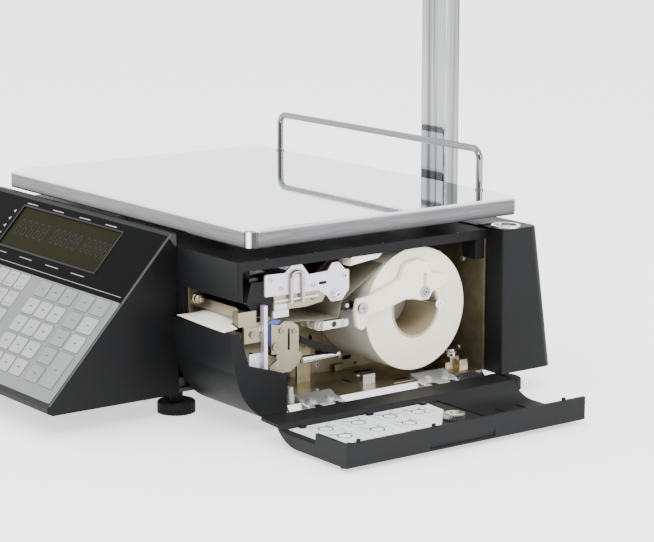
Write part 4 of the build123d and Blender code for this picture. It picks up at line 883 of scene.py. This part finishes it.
# ---- customer display: bezel, digits, screws, vents; mast collar
SHOWN_Y, HIDDEN_Y = 195.0, 168.0  # the display head's faces, towards the customer and the operator
face = at((-1, SHOWN_Y, 444.4), (0, 1, 0), (-1, 0, 0))
screen = Piece("customer_bezel", "display", BLACK, "housing_plastic", 0.3)
screen.bars((-93.4, -29.9, -1.2), (93.4, 29.9, -0.02), 2.8, 2.3, face).done()
shown = Piece("customer_digits", "display", film("digit_grey", (0.26, 0.30, 0.24), 0.3),
              "window_acrylic", 0)
for i in range(5):
    digit(shown, -78 + i * 13, 0, 7.4, 22, 1.8, -0.20, 0.012, face)
    digit(shown, -8 + i * 12, 0, 6.8, 20, 1.7, -0.20, 0.012, face)
for i in range(4):
    digit(shown, 56 + i * 9.6, 0, 5.4, 18, 1.4, -0.20, 0.012, face)
shown.done()
head_fix = Piece("display_screws", "display", ZINC, "zinc_steel", 0.08)
for x in (-90, 88):
    for z in (418, 470):
        head_fix.screw((x, HIDDEN_Y, z), (0, -1, 0), 2.2, 0.9)
head_fix.done()
# Painted shade: flat dark marks stand in for the vent slots.
back_slots = Piece("display_vents", "display", DARK_INK_AND_SHADE, "black_plastic", 0)
hidden_face = at((-1, HIDDEN_Y, 440), (0, -1, 0))
for i in range(7):
    for x in (-60, 30):
        back_slots.pill(x, -12 + 4 * i, x + 30, -10 + 4 * i, 0.9, -0.04, 0.05, hidden_face)
back_slots.done()
mast_trim = Piece("mast_collar", "frame", BLACK, "black_plastic", 0.3)
mast_trim.bars((-17.8, 175.5, 111.0), (15.8, 194.5, 113.6), 1.7, 1.7).done()

# ---- underside: ribs, screws, vents and rubber pads
RIB_LOW, RIB_HIGH = 16.3, 17.6
under = Piece("pan_ribs", "frame", PAN, "pan_metal", 0.3)
for x in (-180, -120, -60, 0):
    under.box((x - 1, -180, RIB_LOW), (x + 1, -60, RIB_HIGH))
    under.box((x - 1, -40, RIB_LOW), (x + 1, 176, RIB_HIGH))
for y in (-120, -20, 60, 130):
    under.box((-212, y - 1, RIB_LOW), (28, y + 1, RIB_HIGH))
under.done()
low_screws = Piece("pan_screws", "frame", ZINC, "zinc_steel", 0.08)
for x, y in ((-150, -150), (-30, -150), (-150, 100), (-30, 100), (26, -170), (-205, 120), (60, 160),
             (-90, 40)):
    low_screws.screw((x, y, PAN_Z), (0, 0, -1), 2.6, 1.3)
low_screws.done()
# Painted shade: flat dark marks stand in for the vent slots.
vent_low = Piece("pan_vents", "frame", DARK_INK_AND_SHADE, "black_plastic", 0)
for i in range(10):
    vent_low.pill(-112 + 4.5 * i, -20, -110 + 4.5 * i, 20, 0.95, -0.05, 0.05, at((0, 0, PAN_Z), (0, 0, -1)))
vent_low.done()
for body, (x, y) in {"foot_fr": (20.5, -79), "foot_rr": (110.5, 158), "foot_fl": (-200, -79),
                     "foot_rl": (-200, 158)}.items():
    pad = Piece("pad_" + body, body, RUBBER, "rubber_black", 0.3)
    pad.ring(x, y, 3.0, 12.4, 0.0, 1.2).ring(x, y, 5.2, 13.4, 7.9, 8.6).done()

# ---- switch, and the dark crosses of all the screws, painted shade in their recesses
switch_mark = Piece("switch_marks", "rocker", INK_WHITE, "black_plastic", 0)
rocker = at((-222.7, 97, 47), (-1, 0.08, 0), (0, -1, 0))
switch_mark.box((-0.3, -3.4, -0.1), (0.3, 0.2, 0.35), rocker)
switch_mark.done()
for crosses in RECESSES.values():
    crosses.done()

# ------------------------------------------------------------------ stage
floor_grid = bmesh.new()
bmesh.ops.create_grid(floor_grid, x_segments=1, y_segments=1, size=6)
floor_mesh = bpy.data.meshes.new("studio_floor")
floor_grid.to_mesh(floor_mesh)
floor_grid.free()
floor = bpy.data.objects.new("studio_floor", floor_mesh)
bpy.context.scene.collection.objects.link(floor)
s = Shader("studio_floor", soften=0)
s.colour(s.mix(s.noise(2, 3), (0.90, 0.90, 0.90), (0.92, 0.92, 0.92))).rough(0.9)
s.set(Emission_Color=(1, 1, 1, 1), Emission_Strength=1.1, Specular_IOR_Level=0.1)
floor.data.materials.append(s.material)

# the air is bright behind the scale and above it, and dimmer on the camera's side
BRIGHT_SIDE = (-0.80, 0.50, 0.33)
FACING_LOW, FACING_HIGH = -0.75, 0.35  # how much a direction faces the bright side
STRENGTH_LOW, STRENGTH_HIGH = 0.55, 2.7
world = bpy.data.worlds.new("studio")
world.use_nodes = True
air = world.node_tree
direction = air.nodes.new("ShaderNodeTexCoord")
facing = air.nodes.new("ShaderNodeVectorMath")
facing.operation = "DOT_PRODUCT"
facing.inputs[1].default_value = Vector(BRIGHT_SIDE).normalized()
air.links.new(direction.outputs["Generated"], facing.inputs[0])
strength = air.nodes.new("ShaderNodeMapRange")
for value, socket in zip((FACING_LOW, FACING_HIGH, STRENGTH_LOW, STRENGTH_HIGH),
                         list(strength.inputs)[1:5]):
    socket.default_value = value
air.links.new(facing.outputs["Value"], strength.inputs[0])
backdrop = air.nodes["Background"]
backdrop.inputs["Color"].default_value = (1.0, 1.0, 1.0, 1)
air.links.new(strength.outputs[0], backdrop.inputs["Strength"])
bpy.context.scene.world = world


def lamp(name, place, target, size, power):
    light = bpy.data.lights.new(name, "AREA")
    light.shape = "RECTANGLE"
    light.size, light.size_y = size
    light.energy = power
    obj = bpy.data.objects.new(name, light)
    obj.location = place
    obj.rotation_euler = (Vector(target) - Vector(place)).to_track_quat("-Z", "Y").to_euler()
    bpy.context.scene.collection.objects.link(obj)


lamp("key", (1.5, -0.9, 1.7), (0.05, 0, 0.08), (1.2, 0.9), 34)
lamp("side", (2.0, 0.7, 0.6), (0.08, 0.03, 0.07), (0.7, 1.1), 22)
lamp("fill", (-1.2, -1.8, 1.3), (-0.05, 0, 0.15), (1.6, 1.2), 14)

FOCAL, IMAGE_WIDTH = 2200, 654  # in one unit, so that only their ratio counts
SENSOR = 36.0
CAMERA_AT, AIM_AT = (1.3412, -0.9163, 0.4159), (0.2689, -0.1252, 0.150)
camera_data = bpy.data.cameras.new("camera")
camera_data.sensor_width = SENSOR
camera_data.lens = FOCAL * SENSOR / IMAGE_WIDTH
camera_data.clip_end = 30
camera = bpy.data.objects.new("camera", camera_data)
camera.location = CAMERA_AT
aim = Vector(AIM_AT) - camera.location
camera.rotation_euler = aim.to_track_quat("-Z", "Y").to_euler()
bpy.context.scene.collection.objects.link(camera)
bpy.context.scene.camera = camera
